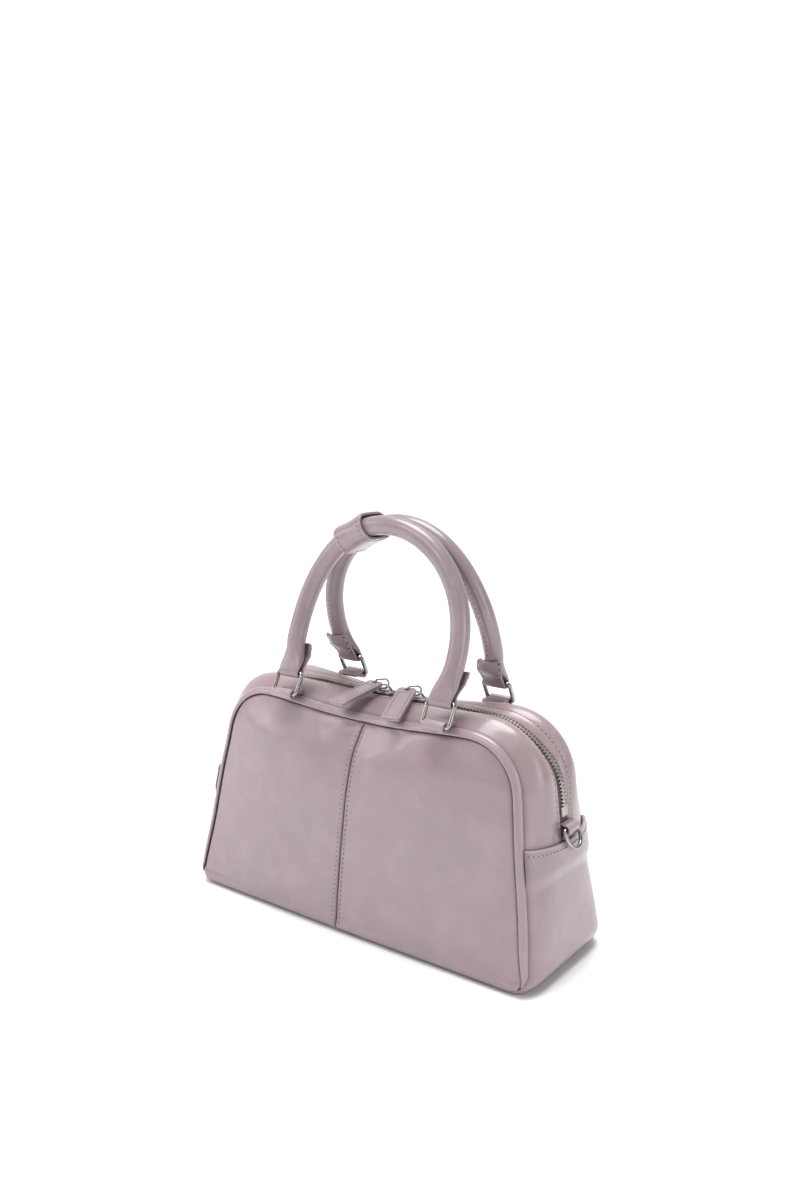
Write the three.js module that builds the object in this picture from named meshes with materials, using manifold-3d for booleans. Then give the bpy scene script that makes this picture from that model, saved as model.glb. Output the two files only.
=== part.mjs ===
// A small zipped boston bag in soft, waxed leather: a rounded trapezoid front and back joined by a gusset band,
// piped seams, a double-ended zip with leather pulls, two rolled handles held together by a keeper band, and a
// D-ring at each end for a shoulder strap. Millimetres, +X along the bag, +Y to its back, +Z up, standing on z = 0.
import * as THREE from "three";
import Module from "manifold-3d";
import { mergeVertices } from "three/addons/utils/BufferGeometryUtils.js";

const wasm = await Module();
wasm.setup();

// Clearance between sewn pieces, and the leather's thickness
const GAP = 0.3;
const LEATHER = 2;

// The seam line where a face panel meets the gusset band, seen from the front
const BASE_HALF_LENGTH = 136.4;
const SHOULDER_HALF_LENGTH = 112;
const SEAM_LIFT = 3;
const SEAM_TOP = 150;
const BASE_CORNER_RADIUS = 9;
const SHOULDER_RADIUS = 36;
const TOP_DIP = 5.4;

// Depth of the bag at its base, and how far the band swells out past the seam line at its fullest
const BASE_HALF_DEPTH = 52;
const BAND_SWELL = 11;

// Face panels: the fullest swell, and how far the centre seam leans to the left at the base
const FACE_SWELL = 10.6;
const SEAM_SLANT = 7;
const SEAM_GROOVE = 1.1;

// Piping between the face panels and the band: a flattened cord that lies at 45 degrees across the corner, a little
// behind the front of the panel's edge, and tapers to nothing above the base
const PIPING_HALF_WIDTH = 2.9;
const PIPING_HALF_THICKNESS = 1.45;
const PIPING_SET_BACK = 1.2;
const PIPING_TIP_SHARE = 0.2;
const PIPING_START_ZONE = 1.62;

// The lower band: its laps over the upper one, and how far its top edge dips at the middle
const LAP_HEIGHT = 8;
const LAP_RAISE = LEATHER + 2 * GAP;
const END_TOP_DIP = 3.7;

// Zip
const ZIP_SLOT_HALF = 4.3;
const CHAIN_HALF_WIDTH = 3;
const CHAIN_HEIGHT = 1.6;
const TAPE_HALF_WIDTH = 12;
const TAPE_THICKNESS = 1;
const SLIDER_LENGTH = 16;
const SLIDER_PLATE = 1.6;
const CROWN_HEIGHT = 4.2;
const CROWN_WIDTH = 2;
const CROWN_BAR = 1.1;
const LINK_WIRE_RADIUS = 0.65;
const PULL_WIDTH = 12.5;
const PULL_THICKNESS = 2.6;
const PULL_LENGTH = 38;

// Handles
const HANDLE_RADIUS = 6.3;
const HANDLE_HALF_WIDTH = 63.8;
const HANDLE_LEG_BOW = 2.8;
const HANDLE_RING_SPREAD = HANDLE_HALF_WIDTH - HANDLE_LEG_BOW;
const HANDLE_WIDEST_Z = 193;
const HANDLE_APEX_Z = 267;
const HANDLE_APEX_DEPTH = 6.6;
const HANDLE_LEAN_POWER = 1.9;
const SHIELD_LENGTH = 23;
const SHIELD_HALF_WIDTH = 10.2;
const STRAP_THICKNESS = 2;

// Metal rings between handle and bag
const RING_WIRE_RADIUS = 1.3;
const RING_INNER_WIDTH = 17.4;
const RING_BAR_SPACING = 15.4;
const RING_LEAN = THREE.MathUtils.degToRad(28);
const RING_CENTRE_DEPTH = 35.4;
const RING_CENTRE_Z = 160;
const RING_PLAY = 0.5;
const CHAPE_WIDTH = 15.5;
const CHAPE_THICKNESS = 1.8;

// Keeper band round both handles
const KEEPER_X = -26;
const KEEPER_LENGTH = 24;
const KEEPER_THICKNESS = 1.8;
const KEEPER_SIDE_ROOM = 1.2;
const KEEPER_HEIGHT_ROOM = 1.4;
const KEEPER_SAG = 0.6;

// D-rings at the ends
const D_RING_WIRE_RADIUS = 1.25;
const D_RING_HALF_WIDTH = 8.3;
const D_RING_DROP = 13;
const D_RING_BAR_Z = 94.2;
const D_RING_TILT = THREE.MathUtils.degToRad(25);
const D_TAB_HALF_WIDTH = 6.5;
const D_TAB_THICKNESS = 1.6;
const D_TAB_ROOT_HEIGHT = 9.5;
const D_RING_CORNER_RADIUS = 2;

// Places round the half loop are zone numbers: 0 base centre, 1 to 2 the base corner, 2 to 3 the end,
// 3 to 4 the shoulder, 5 the top centre. Depth is a share of the base's half depth, swell one of the band's swell,
// and lobe one of the same swell, for the fullness either side of the zip.
const BAND_SECTIONS = [
  { zone: 0, depth: 0.985, swell: 0.27, power: 14, lobe: 0 },
  { zone: 1, depth: 0.965, swell: 0.27, power: 14, lobe: 0 },
  { zone: 2, depth: 0.925, swell: 0.62, power: 8, lobe: 0 },
  { zone: 2.35, depth: 0.83, swell: 0.84, power: 4.5, lobe: 0 },
  { zone: 2.7, depth: 0.76, swell: 0.98, power: 3, lobe: 0 },
  { zone: 3, depth: 0.675, swell: 0.96, power: 2.3, lobe: 0.28 },
  { zone: 3.5, depth: 0.64, swell: 0.36, power: 2, lobe: 0.72 },
  { zone: 4, depth: 0.635, swell: 0.38, power: 2, lobe: 0.5 },
  { zone: 4.35, depth: 0.628, swell: 0.66, power: 2, lobe: 0.2 },
  { zone: 5, depth: 0.56, swell: 1, power: 2, lobe: 0 },
];
const END_TOP_ZONE = 2.7;

// How full a face panel is from its base, 0, to its top edge, 1, as a share of the face swell
const FACE_SECTIONS = [
  { height: 0, swell: 0 },
  { height: 0.17, swell: 0.4 },
  { height: 0.33, swell: 0.66 },
  { height: 0.52, swell: 0.85 },
  { height: 0.7, swell: 1 },
  { height: 0.84, swell: 0.9 },
  { height: 0.93, swell: 0.46 },
  { height: 1, swell: 0 },
];

// The handle's end, up its leg from the ring's bar: sizes of the section and its shift towards the outer side
const HANDLE_END_SECTIONS = [
  { up: 0.96, width: 1, thickness: 1, shift: 0, square: 1 },
  { up: 0.68, width: 1.08, thickness: 0.88, shift: 0.03, square: 0.95 },
  { up: 0.4, width: 1.22, thickness: 0.58, shift: 0.15, square: 0.7 },
  { up: 0.22, width: 1.28, thickness: 0.34, shift: 0.33, square: 0.5 },
];

// The shield folded back up the inner side: width as a share of its fullest, stand-off as one of the handle's radius
const SHIELD_SECTIONS = [
  { up: 0.22, width: 0.77, standOff: 0.48 },
  { up: 0.42, width: 0.82, standOff: 0.72 },
  { up: 0.62, width: 0.94, standOff: 1.06 },
  { up: 0.78, width: 1, standOff: 1.19 },
  { up: 0.92, width: 0.96, standOff: 1.24 },
  { up: 1, width: 0.78, standOff: 1.25 },
];

// Each pull: the x of its slider's centre, the turns of its link and its leather from straight forwards, and its
// fall, in degrees
const PULLS = [
  { name: "left", sliderX: -5.9, linkTurn: -40, turn: -5, fall: 9.5 },
  { name: "right", sliderX: 20.7, linkTurn: -40, turn: 19, fall: 14.5 },
];

const { degToRad, lerp, clamp, smoothstep } = THREE.MathUtils;
const v3 = (x, y, z) => new THREE.Vector3(x, y, z);

// A smooth value between the rows of a table, read from one of its columns
function fromTable(rows, key, column, at) {
  const last = rows.length - 1;
  let i = 0;
  while (i < last - 1 && at > rows[i + 1][key]) i += 1;
  const slope = (a, b) => (rows[b][column] - rows[a][column]) / (rows[b][key] - rows[a][key]);
  const span = rows[i + 1][key] - rows[i][key];
  const t = clamp((at - rows[i][key]) / span, 0, 1);
  const start = i > 0 ? slope(i - 1, i + 1) : slope(0, 1);
  const end = i < last - 1 ? slope(i, i + 2) : slope(last - 1, last);
  const [t2, t3] = [t * t, t * t * t];
  return (
    (2 * t3 - 3 * t2 + 1) * rows[i][column] +
    (t3 - 2 * t2 + t) * span * start +
    (3 * t2 - 2 * t3) * rows[i + 1][column] +
    (t3 - t2) * span * end
  );
}

// Makes a closed geometry from points and triangles, with its faces pointing out
function closedGeometry(points, triangles) {
  let volume = 0;
  for (const [a, b, c] of triangles) volume += points[a].dot(v3().crossVectors(points[b], points[c]));
  const faces = volume < 0 ? triangles.map(([a, b, c]) => [a, c, b]) : triangles;
  const geometry = new THREE.BufferGeometry().setFromPoints(points);
  geometry.setIndex(faces.flat());
  geometry.computeVertexNormals();
  return geometry;
}

// A solid through a row of section rings with the same number of points, capped unless it closes on itself
function sweptSolid(rings, closed = false) {
  const count = rings[0].length;
  const points = rings.flat();
  const triangles = [];
  const spans = closed ? rings.length : rings.length - 1;
  for (let i = 0; i < spans; i++) {
    for (let j = 0; j < count; j++) {
      const [a, b] = [i * count + j, i * count + ((j + 1) % count)];
      const shift = (((i + 1) % rings.length) - i) * count;
      triangles.push([a, b, b + shift], [a, b + shift, a + shift]);
    }
  }
  if (!closed) {
    for (const [ring, flip] of [[0, true], [rings.length - 1, false]]) {
      const centre = points.length;
      points.push(rings[ring].reduce((sum, p) => sum.add(p), v3(0, 0, 0)).divideScalar(count));
      for (let j = 0; j < count; j++) {
        const [a, b] = [ring * count + j, ring * count + ((j + 1) % count)];
        triangles.push(flip ? [centre, b, a] : [centre, a, b]);
      }
    }
  }
  return closedGeometry(points, triangles);
}

// A wall of one thickness behind a grid of points; its outer side faces along rows cross columns. The wall goes
// straight in unless another direction is given for a row and column.
function sheetSolid(grid, thickness, direction = (i, j, inward) => inward) {
  const [rows, columns] = [grid.length, grid[0].length];
  const at = (i, j) => grid[clamp(i, 0, rows - 1)][clamp(j, 0, columns - 1)];
  const points = grid.flat();
  for (let i = 0; i < rows; i++) {
    for (let j = 0; j < columns; j++) {
      const along = at(i + 1, j).clone().sub(at(i - 1, j));
      const across = at(i, j + 1).clone().sub(at(i, j - 1));
      const inward = v3().crossVectors(across, along).normalize();
      points.push(at(i, j).clone().addScaledVector(direction(i, j, inward).normalize(), thickness));
    }
  }
  const back = rows * columns;
  const triangles = [];
  const quad = (a, b, c, d) => triangles.push([a, b, c], [a, c, d]);
  for (let i = 0; i < rows - 1; i++) {
    for (let j = 0; j < columns - 1; j++) {
      const a = i * columns + j;
      quad(a, a + 1, a + columns + 1, a + columns);
      quad(back + a, back + a + columns, back + a + columns + 1, back + a + 1);
    }
  }
  const rim = [];
  for (let j = 0; j < columns - 1; j++) rim.push(j);
  for (let i = 0; i < rows - 1; i++) rim.push(i * columns + columns - 1);
  for (let j = columns - 1; j > 0; j--) rim.push((rows - 1) * columns + j);
  for (let i = rows - 1; i > 0; i--) rim.push(i * columns);
  rim.forEach((a, k) => {
    const b = rim[(k + 1) % rim.length];
    quad(b, a, back + a, back + b);
  });
  return closedGeometry(points, triangles);
}

// Joins closed geometries into one solid
function joined(geometries) {
  const solids = geometries.map((geometry) => {
    const bare = geometry.clone();
    bare.deleteAttribute("normal");
    bare.deleteAttribute("uv");
    const merged = mergeVertices(bare, 1e-4);
    return new wasm.Manifold(
      new wasm.Mesh({
        numProp: 3,
        vertProperties: merged.attributes.position.array,
        triVerts: new Uint32Array(merged.index.array),
      }),
    );
  });
  const mesh = solids.reduce((sum, next) => sum.add(next)).getMesh();
  const geometry = new THREE.BufferGeometry();
  geometry.setAttribute("position", new THREE.BufferAttribute(mesh.vertProperties, 3));
  geometry.setIndex(new THREE.BufferAttribute(mesh.triVerts, 1));
  geometry.computeVertexNormals();
  return geometry;
}

// A flat shape in the named plane, extruded both ways across its middle
function slab(shape, width, plane, curveSegments = 8) {
  const geometry = new THREE.ExtrudeGeometry(shape, { depth: width, bevelEnabled: false, curveSegments });
  geometry.translate(0, 0, -width / 2);
  const axes = {
    yz: [v3(0, 1, 0), v3(0, 0, 1), v3(1, 0, 0)],
    xz: [v3(1, 0, 0), v3(0, 0, 1), v3(0, -1, 0)],
  }[plane];
  return geometry.applyMatrix4(new THREE.Matrix4().makeBasis(...axes));
}

// A copy mirrored across a plane through the origin, still facing out
function mirrored(geometry, axis) {
  const copy = geometry.clone();
  copy.scale(axis === "x" ? -1 : 1, axis === "y" ? -1 : 1, 1);
  const count = copy.attributes.position.count;
  const turned = copy.index ? Array.from(copy.index.array) : Array.from({ length: count }, (_, i) => i);
  for (let i = 0; i < turned.length; i += 3) [turned[i + 1], turned[i + 2]] = [turned[i + 2], turned[i + 1]];
  copy.setIndex(turned);
  copy.computeVertexNormals();
  return copy;
}

// The seam line seen from the front. The end line leans in by this angle, and both corners are arcs tangent to it.
const END_LEAN = Math.atan((BASE_HALF_LENGTH - SHOULDER_HALF_LENGTH) / (SEAM_TOP - SEAM_LIFT));
const END_REACH = BASE_HALF_LENGTH * Math.cos(END_LEAN) + SEAM_LIFT * Math.sin(END_LEAN);
function cornerCentre(radius, z) {
  return new THREE.Vector2((END_REACH - radius - z * Math.sin(END_LEAN)) / Math.cos(END_LEAN), z);
}
const BASE_CORNER = cornerCentre(BASE_CORNER_RADIUS, SEAM_LIFT + BASE_CORNER_RADIUS);
const SHOULDER = cornerCentre(SHOULDER_RADIUS, SEAM_TOP - SHOULDER_RADIUS);

// A place on the seam line: its point, outward normal and section values. Negative zones are on the left.
function seamAt(signedZone) {
  const zone = Math.abs(signedZone);
  const onArc = (centre, radius, angle) => ({
    x: centre.x + radius * Math.cos(angle),
    z: centre.y + radius * Math.sin(angle),
    nx: Math.cos(angle),
    nz: Math.sin(angle),
  });
  let place;
  if (zone <= 1) {
    place = { x: zone * BASE_CORNER.x, z: SEAM_LIFT, nx: 0, nz: -1 };
  } else if (zone <= 2) {
    place = onArc(BASE_CORNER, BASE_CORNER_RADIUS, lerp(-Math.PI / 2, END_LEAN, zone - 1));
  } else if (zone <= 3) {
    const start = onArc(BASE_CORNER, BASE_CORNER_RADIUS, END_LEAN);
    const end = onArc(SHOULDER, SHOULDER_RADIUS, END_LEAN);
    place = { ...start, x: lerp(start.x, end.x, zone - 2), z: lerp(start.z, end.z, zone - 2) };
  } else if (zone <= 4) {
    place = onArc(SHOULDER, SHOULDER_RADIUS, lerp(END_LEAN, Math.PI / 2, zone - 3));
  } else {
    const share = 5 - zone;
    const dip = TOP_DIP * (1 - share * share) ** 2;
    const slope = (4 * TOP_DIP * share * (1 - share * share)) / SHOULDER.x;
    const length = Math.hypot(1, slope);
    place = { x: share * SHOULDER.x, z: SEAM_TOP - dip, nx: -slope / length, nz: 1 / length };
  }
  const side = signedZone < 0 ? -1 : 1;
  const read = (column) => fromTable(BAND_SECTIONS, "zone", column, zone);
  return {
    x: side * place.x,
    z: place.z,
    nx: side * place.nx,
    nz: place.nz,
    depth: read("depth") * BASE_HALF_DEPTH,
    swell: read("swell") * BAND_SWELL,
    power: read("power"),
    lobe: read("lobe") * BAND_SWELL,
  };
}

// A point of the band at a zone and a depth y, raised from its surface
function bandPoint(zone, y, raise = 0) {
  const s = seamAt(zone);
  const v = clamp(y / s.depth, -1, 1);
  const out = s.swell * (1 - Math.abs(v) ** s.power) + s.lobe * Math.sin(Math.PI * v) ** 2;
  const crownFall = s.swell * s.power * Math.abs(v) ** (s.power - 1) * Math.sign(v);
  const fall = (crownFall - s.lobe * Math.PI * Math.sin(2 * Math.PI * v)) / s.depth;
  const normal = v3(s.nx, fall, s.nz).normalize();
  return v3(s.x + s.nx * out, y, s.z + s.nz * out).addScaledVector(normal, raise);
}

// Zones from one place to another, so that each zone is divided as its bends need
function zoneSteps(from, to, divisions) {
  const zones = [from];
  const step = Math.sign(to - from);
  const inner = [];
  for (let zone = 0; zone < 5; zone++) {
    for (let k = 0; k < divisions[zone]; k++) inner.push(zone + k / divisions[zone]);
  }
  inner.push(5);
  const ordered = step > 0 ? inner : inner.reverse();
  for (const zone of ordered) {
    const near = 0.3 / divisions[Math.min(4, Math.floor(zone))];
    if ((zone - from) * step > near && (to - zone) * step > near) zones.push(zone);
  }
  zones.push(to);
  return zones;
}

// The full way round from one end, over the top or under the base, to the same place on the other side
function acrossTop(zone, divisions) {
  const up = zoneSteps(zone, 5, divisions);
  return [...up, ...up.slice(0, -1).reverse().map((z) => -z)];
}
function acrossBase(zone, divisions) {
  const down = zoneSteps(zone, 0, divisions);
  return [...down, ...down.slice(0, -1).reverse().map((z) => -z)];
}

// How much of its full size the piping has: none along the base, all of it up the ends and over the top. The pieces
// beside the seam stand back to suit.
const PIPING_REACH = Math.hypot(PIPING_HALF_WIDTH, PIPING_HALF_THICKNESS) * Math.SQRT1_2;
function pipingShare(zone) {
  const full = smoothstep(Math.abs(zone), PIPING_START_ZONE, PIPING_START_ZONE + 0.6);
  return lerp(PIPING_TIP_SHARE, 1, full);
}
function seamInset(zone) {
  const opening = smoothstep(Math.abs(zone), PIPING_START_ZONE - 0.3, PIPING_START_ZONE - 0.05);
  return opening * pipingShare(zone) * PIPING_REACH + lerp(GAP / 2, 1.5 * GAP, opening);
}
function bandInset(zone) {
  const opening = smoothstep(Math.abs(zone), PIPING_START_ZONE - 0.3, PIPING_START_ZONE - 0.05);
  return seamInset(zone) + opening * pipingShare(zone) * PIPING_SET_BACK;
}

// Boundary curves of a face panel, inset for the piping
function panelEdge(from, to) {
  const points = [];
  const steps = 36;
  for (let k = 0; k <= steps; k++) {
    let zone = lerp(from, to, k / steps);
    if (zone > 5) zone -= 10;
    const s = seamAt(zone);
    const inset = seamInset(zone);
    points.push(v3(s.x - s.nx * inset, -s.depth, s.z - s.nz * inset));
  }
  return new THREE.CatmullRomCurve3(points);
}
const PANEL_BASE = panelEdge(-1.5, 1.5);
const PANEL_RIGHT = panelEdge(1.5, 3.5);
const PANEL_LEFT = panelEdge(-1.5, -3.5);
const PANEL_TOP = panelEdge(6.5, 3.5);

// A point of the front face: u from its left edge to its right, v from its base to its top edge
function facePoint(u, v) {
  const [base, top] = [PANEL_BASE.getPointAt(u), PANEL_TOP.getPointAt(u)];
  const [left, right] = [PANEL_LEFT.getPointAt(v), PANEL_RIGHT.getPointAt(v)];
  const corner = (curve, t) => curve.getPointAt(t);
  const point = base.multiplyScalar(1 - v).addScaledVector(top, v);
  point.addScaledVector(left, 1 - u).addScaledVector(right, u);
  point.addScaledVector(corner(PANEL_BASE, 0), -(1 - u) * (1 - v));
  point.addScaledVector(corner(PANEL_BASE, 1), -u * (1 - v));
  point.addScaledVector(corner(PANEL_TOP, 0), -(1 - u) * v).addScaledVector(corner(PANEL_TOP, 1), -u * v);
  const across = 1 - Math.abs(2 * u - 1) ** 2.4;
  point.y -= FACE_SWELL * across * fromTable(FACE_SECTIONS, "height", "swell", v);
  return point;
}

// The centre seam's share across the face at a height
function seamShare(v) {
  return 0.5 - ((1 - v) * SEAM_SLANT) / (2 * BASE_HALF_LENGTH);
}

const FACE_ROWS = [0, 0.06, 0.17, 0.3, 0.45, 0.6, 0.72, 0.82, 0.9, 0.96, 1];
function faceHalf(side) {
  const gap = GAP / (4 * BASE_HALF_LENGTH);
  const columns = [0, 0.05, 0.14, 0.28, 0.45, 0.63, 0.8, 0.91, 1];
  const grid = FACE_ROWS.map((v) => {
    const seam = seamShare(v) + side * gap;
    const shares = columns.map((t) => (side < 0 ? seam * (1 - t) : lerp(seam, 1, t)));
    if (side < 0) shares.reverse();
    return shares.map((u, k) => {
      const point = facePoint(u, v);
      const atSeam = side < 0 ? k === shares.length - 1 : k === 0;
      const inner = v > 0.03 && v < 0.97;
      if (atSeam && inner) point.y += SEAM_GROOVE;
      return point;
    });
  });
  return sheetSolid(grid, LEATHER, () => v3(0, 1, 0));
}

function backPanel() {
  const shares = [0, 0.045, 0.12, 0.22, 0.34, 0.5, 0.66, 0.78, 0.88, 0.955, 1];
  const grid = FACE_ROWS.map((v) => shares.map((u) => facePoint(u, v)));
  return mirrored(sheetSolid(grid, LEATHER, () => v3(0, 1, 0)), "y");
}

function piping() {
  const zones = acrossTop(PIPING_START_ZONE, [1, 3, 5, 6, 5]);
  const sides = 8;
  const rings = zones.map((zone) => {
    const s = seamAt(zone);
    const share = pipingShare(zone);
    const centre = v3(s.x, share * PIPING_SET_BACK - s.depth, s.z);
    const out = v3(s.nx, -1, s.nz).normalize();
    const across = v3(s.nx, 1, s.nz).normalize();
    return Array.from({ length: sides }, (_, k) => {
      const angle = (k / sides) * 2 * Math.PI;
      const [a, b] = [Math.cos(angle) * PIPING_HALF_WIDTH, Math.sin(angle) * PIPING_HALF_THICKNESS];
      return centre.clone().addScaledVector(across, share * a).addScaledVector(out, share * b);
    });
  });
  return sweptSolid(rings);
}

// The lower band: both ends and the base in one strip. Near its top edges it laps over the upper band, and those
// edges dip in the middle.
const END_RISE = seamAt(3).z - seamAt(2).z;
function endTopZ() {
  return bandPoint(END_TOP_ZONE - END_TOP_DIP / END_RISE, 0, LAP_RAISE).z;
}
function lowerBand() {
  const zones = acrossBase(END_TOP_ZONE, [3, 5, 7, 1, 1]);
  const shares = [-1, -0.965, -0.87, -0.6, -0.28, 0, 0.28, 0.6, 0.87, 0.965, 1];
  const lapStart = END_TOP_ZONE - (2 * LAP_HEIGHT) / END_RISE;
  const grid = zones.map((zone) =>
    shares.map((share) => {
      const dip = (END_TOP_DIP * (1 - share * share)) / END_RISE;
      const lower = smoothstep(Math.abs(zone), 2, END_TOP_ZONE) * dip;
      const place = zone - Math.sign(zone) * lower;
      const s = seamAt(place);
      const raise = LAP_RAISE * smoothstep(Math.abs(place), lapStart - 0.1, lapStart);
      const limit = s.depth - bandInset(place);
      const flat = Math.abs(zone) <= 1 && Math.abs(share) <= 0.87;
      const point = bandPoint(place, share * limit, raise);
      if (flat) point.z = 0;
      return point;
    }),
  );
  const last = shares.length - 1;
  return sheetSolid(grid, LEATHER, (i, j, inward) => {
    if (j > 0 && j < last) return inward;
    const beside = smoothstep(Math.abs(zones[i]), 1, PIPING_START_ZONE);
    return inward.lerp(v3(0, j === 0 ? 1 : -1, 0), 1 - beside);
  });
}

// One side of the upper band, from the piping to the zip, and from end to end over the top
const UPPER_START_ZONE = END_TOP_ZONE - (1.2 * LAP_HEIGHT) / END_RISE;
const UPPER_DIVISIONS = [1, 1, 8, 7, 6];
function upperBand() {
  const zones = acrossTop(UPPER_START_ZONE, UPPER_DIVISIONS);
  const shares = [1, 0.82, 0.6, 0.36, 0.12, 0];
  const grid = zones.map((zone) => {
    const s = seamAt(zone);
    const edge = s.depth - bandInset(zone);
    return shares.map((share) => bandPoint(zone, -lerp(edge, ZIP_SLOT_HALF, share)));
  });
  return sheetSolid(grid, LEATHER);
}

// One zip tape, under the leather on its side of the slot
function zipTape() {
  const zones = acrossTop(UPPER_START_ZONE, UPPER_DIVISIONS);
  const grid = zones.map((zone) =>
    [GAP / 2, ZIP_SLOT_HALF, TAPE_HALF_WIDTH].map((y) => bandPoint(zone, -y, -LEATHER - 2 * GAP)),
  );
  return sheetSolid(grid, TAPE_THICKNESS);
}

// The closed teeth, with a wider stop at each end
const CHAIN_END_ZONE = END_TOP_ZONE + 0.1;
const CHAIN_STOP_ZONE = CHAIN_END_ZONE + 0.05;
function zipChain() {
  const zones = acrossTop(CHAIN_END_ZONE, UPPER_DIVISIONS);
  const stops = [CHAIN_STOP_ZONE, CHAIN_STOP_ZONE + 0.001];
  zones.splice(1, 0, ...stops);
  zones.splice(zones.length - 1, 0, ...stops.reverse().map((z) => -z));
  const rings = zones.map((zone) => {
    const isStop = Math.abs(zone) <= CHAIN_STOP_ZONE;
    const half = isStop ? CHAIN_HALF_WIDTH + 0.5 : CHAIN_HALF_WIDTH;
    const low = -LEATHER;
    const high = low + CHAIN_HEIGHT + (isStop ? 0.3 : 0);
    return [
      bandPoint(zone, -half, low),
      bandPoint(zone, half, low),
      bandPoint(zone, half, (low + high) / 2),
      bandPoint(zone, half * 0.55, high),
      bandPoint(zone, -half * 0.55, high),
      bandPoint(zone, -half, (low + high) / 2),
    ];
  });
  return sweptSolid(rings);
}

// Height of the zip's leather edges on the top line, and of the top of the teeth there
function topZ(x) {
  const zone = 5 - Math.abs(x) / SHOULDER.x;
  return bandPoint(zone, 0).z;
}
function chainTopZ(x) {
  return topZ(x) - LEATHER + CHAIN_HEIGHT;
}

// The zip slider: a channel over the teeth with a long arched crown along it
function sliderPlateZ(x) {
  return Math.max(chainTopZ(x - SLIDER_LENGTH / 2), chainTopZ(x + SLIDER_LENGTH / 2)) + GAP;
}
function slider(x) {
  const plateLow = sliderPlateZ(x);
  const plateHigh = plateLow + SLIDER_PLATE;
  const half = ZIP_SLOT_HALF - GAP;
  const inner = CHAIN_HALF_WIDTH + GAP;
  const low = plateLow - CHAIN_HEIGHT / 2;
  const channel = new THREE.Shape([
    new THREE.Vector2(-half, low),
    new THREE.Vector2(-inner, low),
    new THREE.Vector2(-inner, plateLow),
    new THREE.Vector2(inner, plateLow),
    new THREE.Vector2(inner, low),
    new THREE.Vector2(half, low),
    new THREE.Vector2(half, plateHigh - 0.4),
    new THREE.Vector2(half - 0.7, plateHigh),
    new THREE.Vector2(-half + 0.7, plateHigh),
    new THREE.Vector2(-half, plateHigh - 0.4),
  ]);
  const crownHalf = SLIDER_LENGTH / 2 - 1.5;
  const arch = new THREE.Shape();
  arch.moveTo(-crownHalf, plateHigh - 0.5);
  const archTop = plateHigh + CROWN_HEIGHT * 1.25;
  arch.bezierCurveTo(-crownHalf, archTop, crownHalf, archTop, crownHalf, plateHigh - 0.5);
  arch.closePath();
  const eyeHalf = crownHalf - 2 * CROWN_BAR;
  const eye = new THREE.Path();
  eye.moveTo(eyeHalf, plateHigh + 0.1);
  const eyeTop = plateHigh + (CROWN_HEIGHT - CROWN_BAR) * 1.3;
  eye.bezierCurveTo(eyeHalf, eyeTop, -eyeHalf, eyeTop, -eyeHalf, plateHigh + 0.1);
  eye.closePath();
  arch.holes.push(eye);
  const body = joined([slab(channel, SLIDER_LENGTH, "yz"), slab(arch, CROWN_WIDTH, "xz", 6)]);
  return body.translate(x, 0, 0);
}

// A wire bent round a closed path of points, with six sides
function wireLoop(path, radius, sides = 6) {
  const count = path.length;
  const middle = path.reduce((sum, p) => sum.add(p), v3(0, 0, 0)).divideScalar(count);
  const turn = middle.clone().sub(path[1]);
  const across = v3().crossVectors(path[1].clone().sub(path[0]), turn).normalize();
  const rings = path.map((point, i) => {
    const tangent = path[(i + 1) % count].clone().sub(path[(i + count - 1) % count]).normalize();
    const out = v3().crossVectors(tangent, across).normalize();
    return Array.from({ length: sides }, (_, k) => {
      const angle = ((k + 0.5) / sides) * 2 * Math.PI;
      const [a, b] = [radius * Math.cos(angle), radius * Math.sin(angle)];
      return point.clone().addScaledVector(out, a).addScaledVector(across, b);
    });
  });
  return sweptSolid(rings, true);
}

// A round-cornered rectangle of points in a plane given by two directions
function roundedLoop(centre, along, up, halfLength, halfHeight, radius, arcSteps) {
  const points = [];
  for (const [sx, sy, start] of [[1, 1, 0], [-1, 1, 1], [-1, -1, 2], [1, -1, 3]]) {
    for (let k = 0; k <= arcSteps; k++) {
      const angle = ((start + k / arcSteps) * Math.PI) / 2;
      const a = sx * (halfLength - radius) + radius * Math.cos(angle);
      const b = sy * (halfHeight - radius) + radius * Math.sin(angle);
      points.push(centre.clone().addScaledVector(along, a).addScaledVector(up, b));
    }
  }
  return points;
}

// The link through a slider's crown and its pull's eyelet, and where the pull lies
const LINK_HALF_HEIGHT = PULL_THICKNESS / 2 + LINK_WIRE_RADIUS + 4 * GAP;
const LINK_HALF_LENGTH = 4.9;
const LINK_BEHIND_CROWN = CROWN_WIDTH / 2 + LINK_WIRE_RADIUS + 3 * GAP;
const PULL_EYELET_SET_BACK = 2.7;
const PULL_EYELET_RADIUS = LINK_WIRE_RADIUS + 2.5 * GAP;
function forwards(turn) {
  return v3(Math.sin(degToRad(turn)), -Math.cos(degToRad(turn)), 0);
}
function linkCentre(pull) {
  const low = sliderPlateZ(pull.sliderX) + SLIDER_PLATE + GAP + LINK_WIRE_RADIUS;
  const crown = v3(pull.sliderX, 0, low + LINK_HALF_HEIGHT);
  return crown.addScaledVector(forwards(pull.linkTurn), LINK_HALF_LENGTH - LINK_BEHIND_CROWN);
}
function pullLink(pull) {
  const corner = LINK_HALF_HEIGHT - GAP / 3;
  const along = forwards(pull.linkTurn);
  const path = roundedLoop(linkCentre(pull), along, v3(0, 0, 1), LINK_HALF_LENGTH, LINK_HALF_HEIGHT, corner, 3);
  return wireLoop(path, LINK_WIRE_RADIUS);
}

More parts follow.
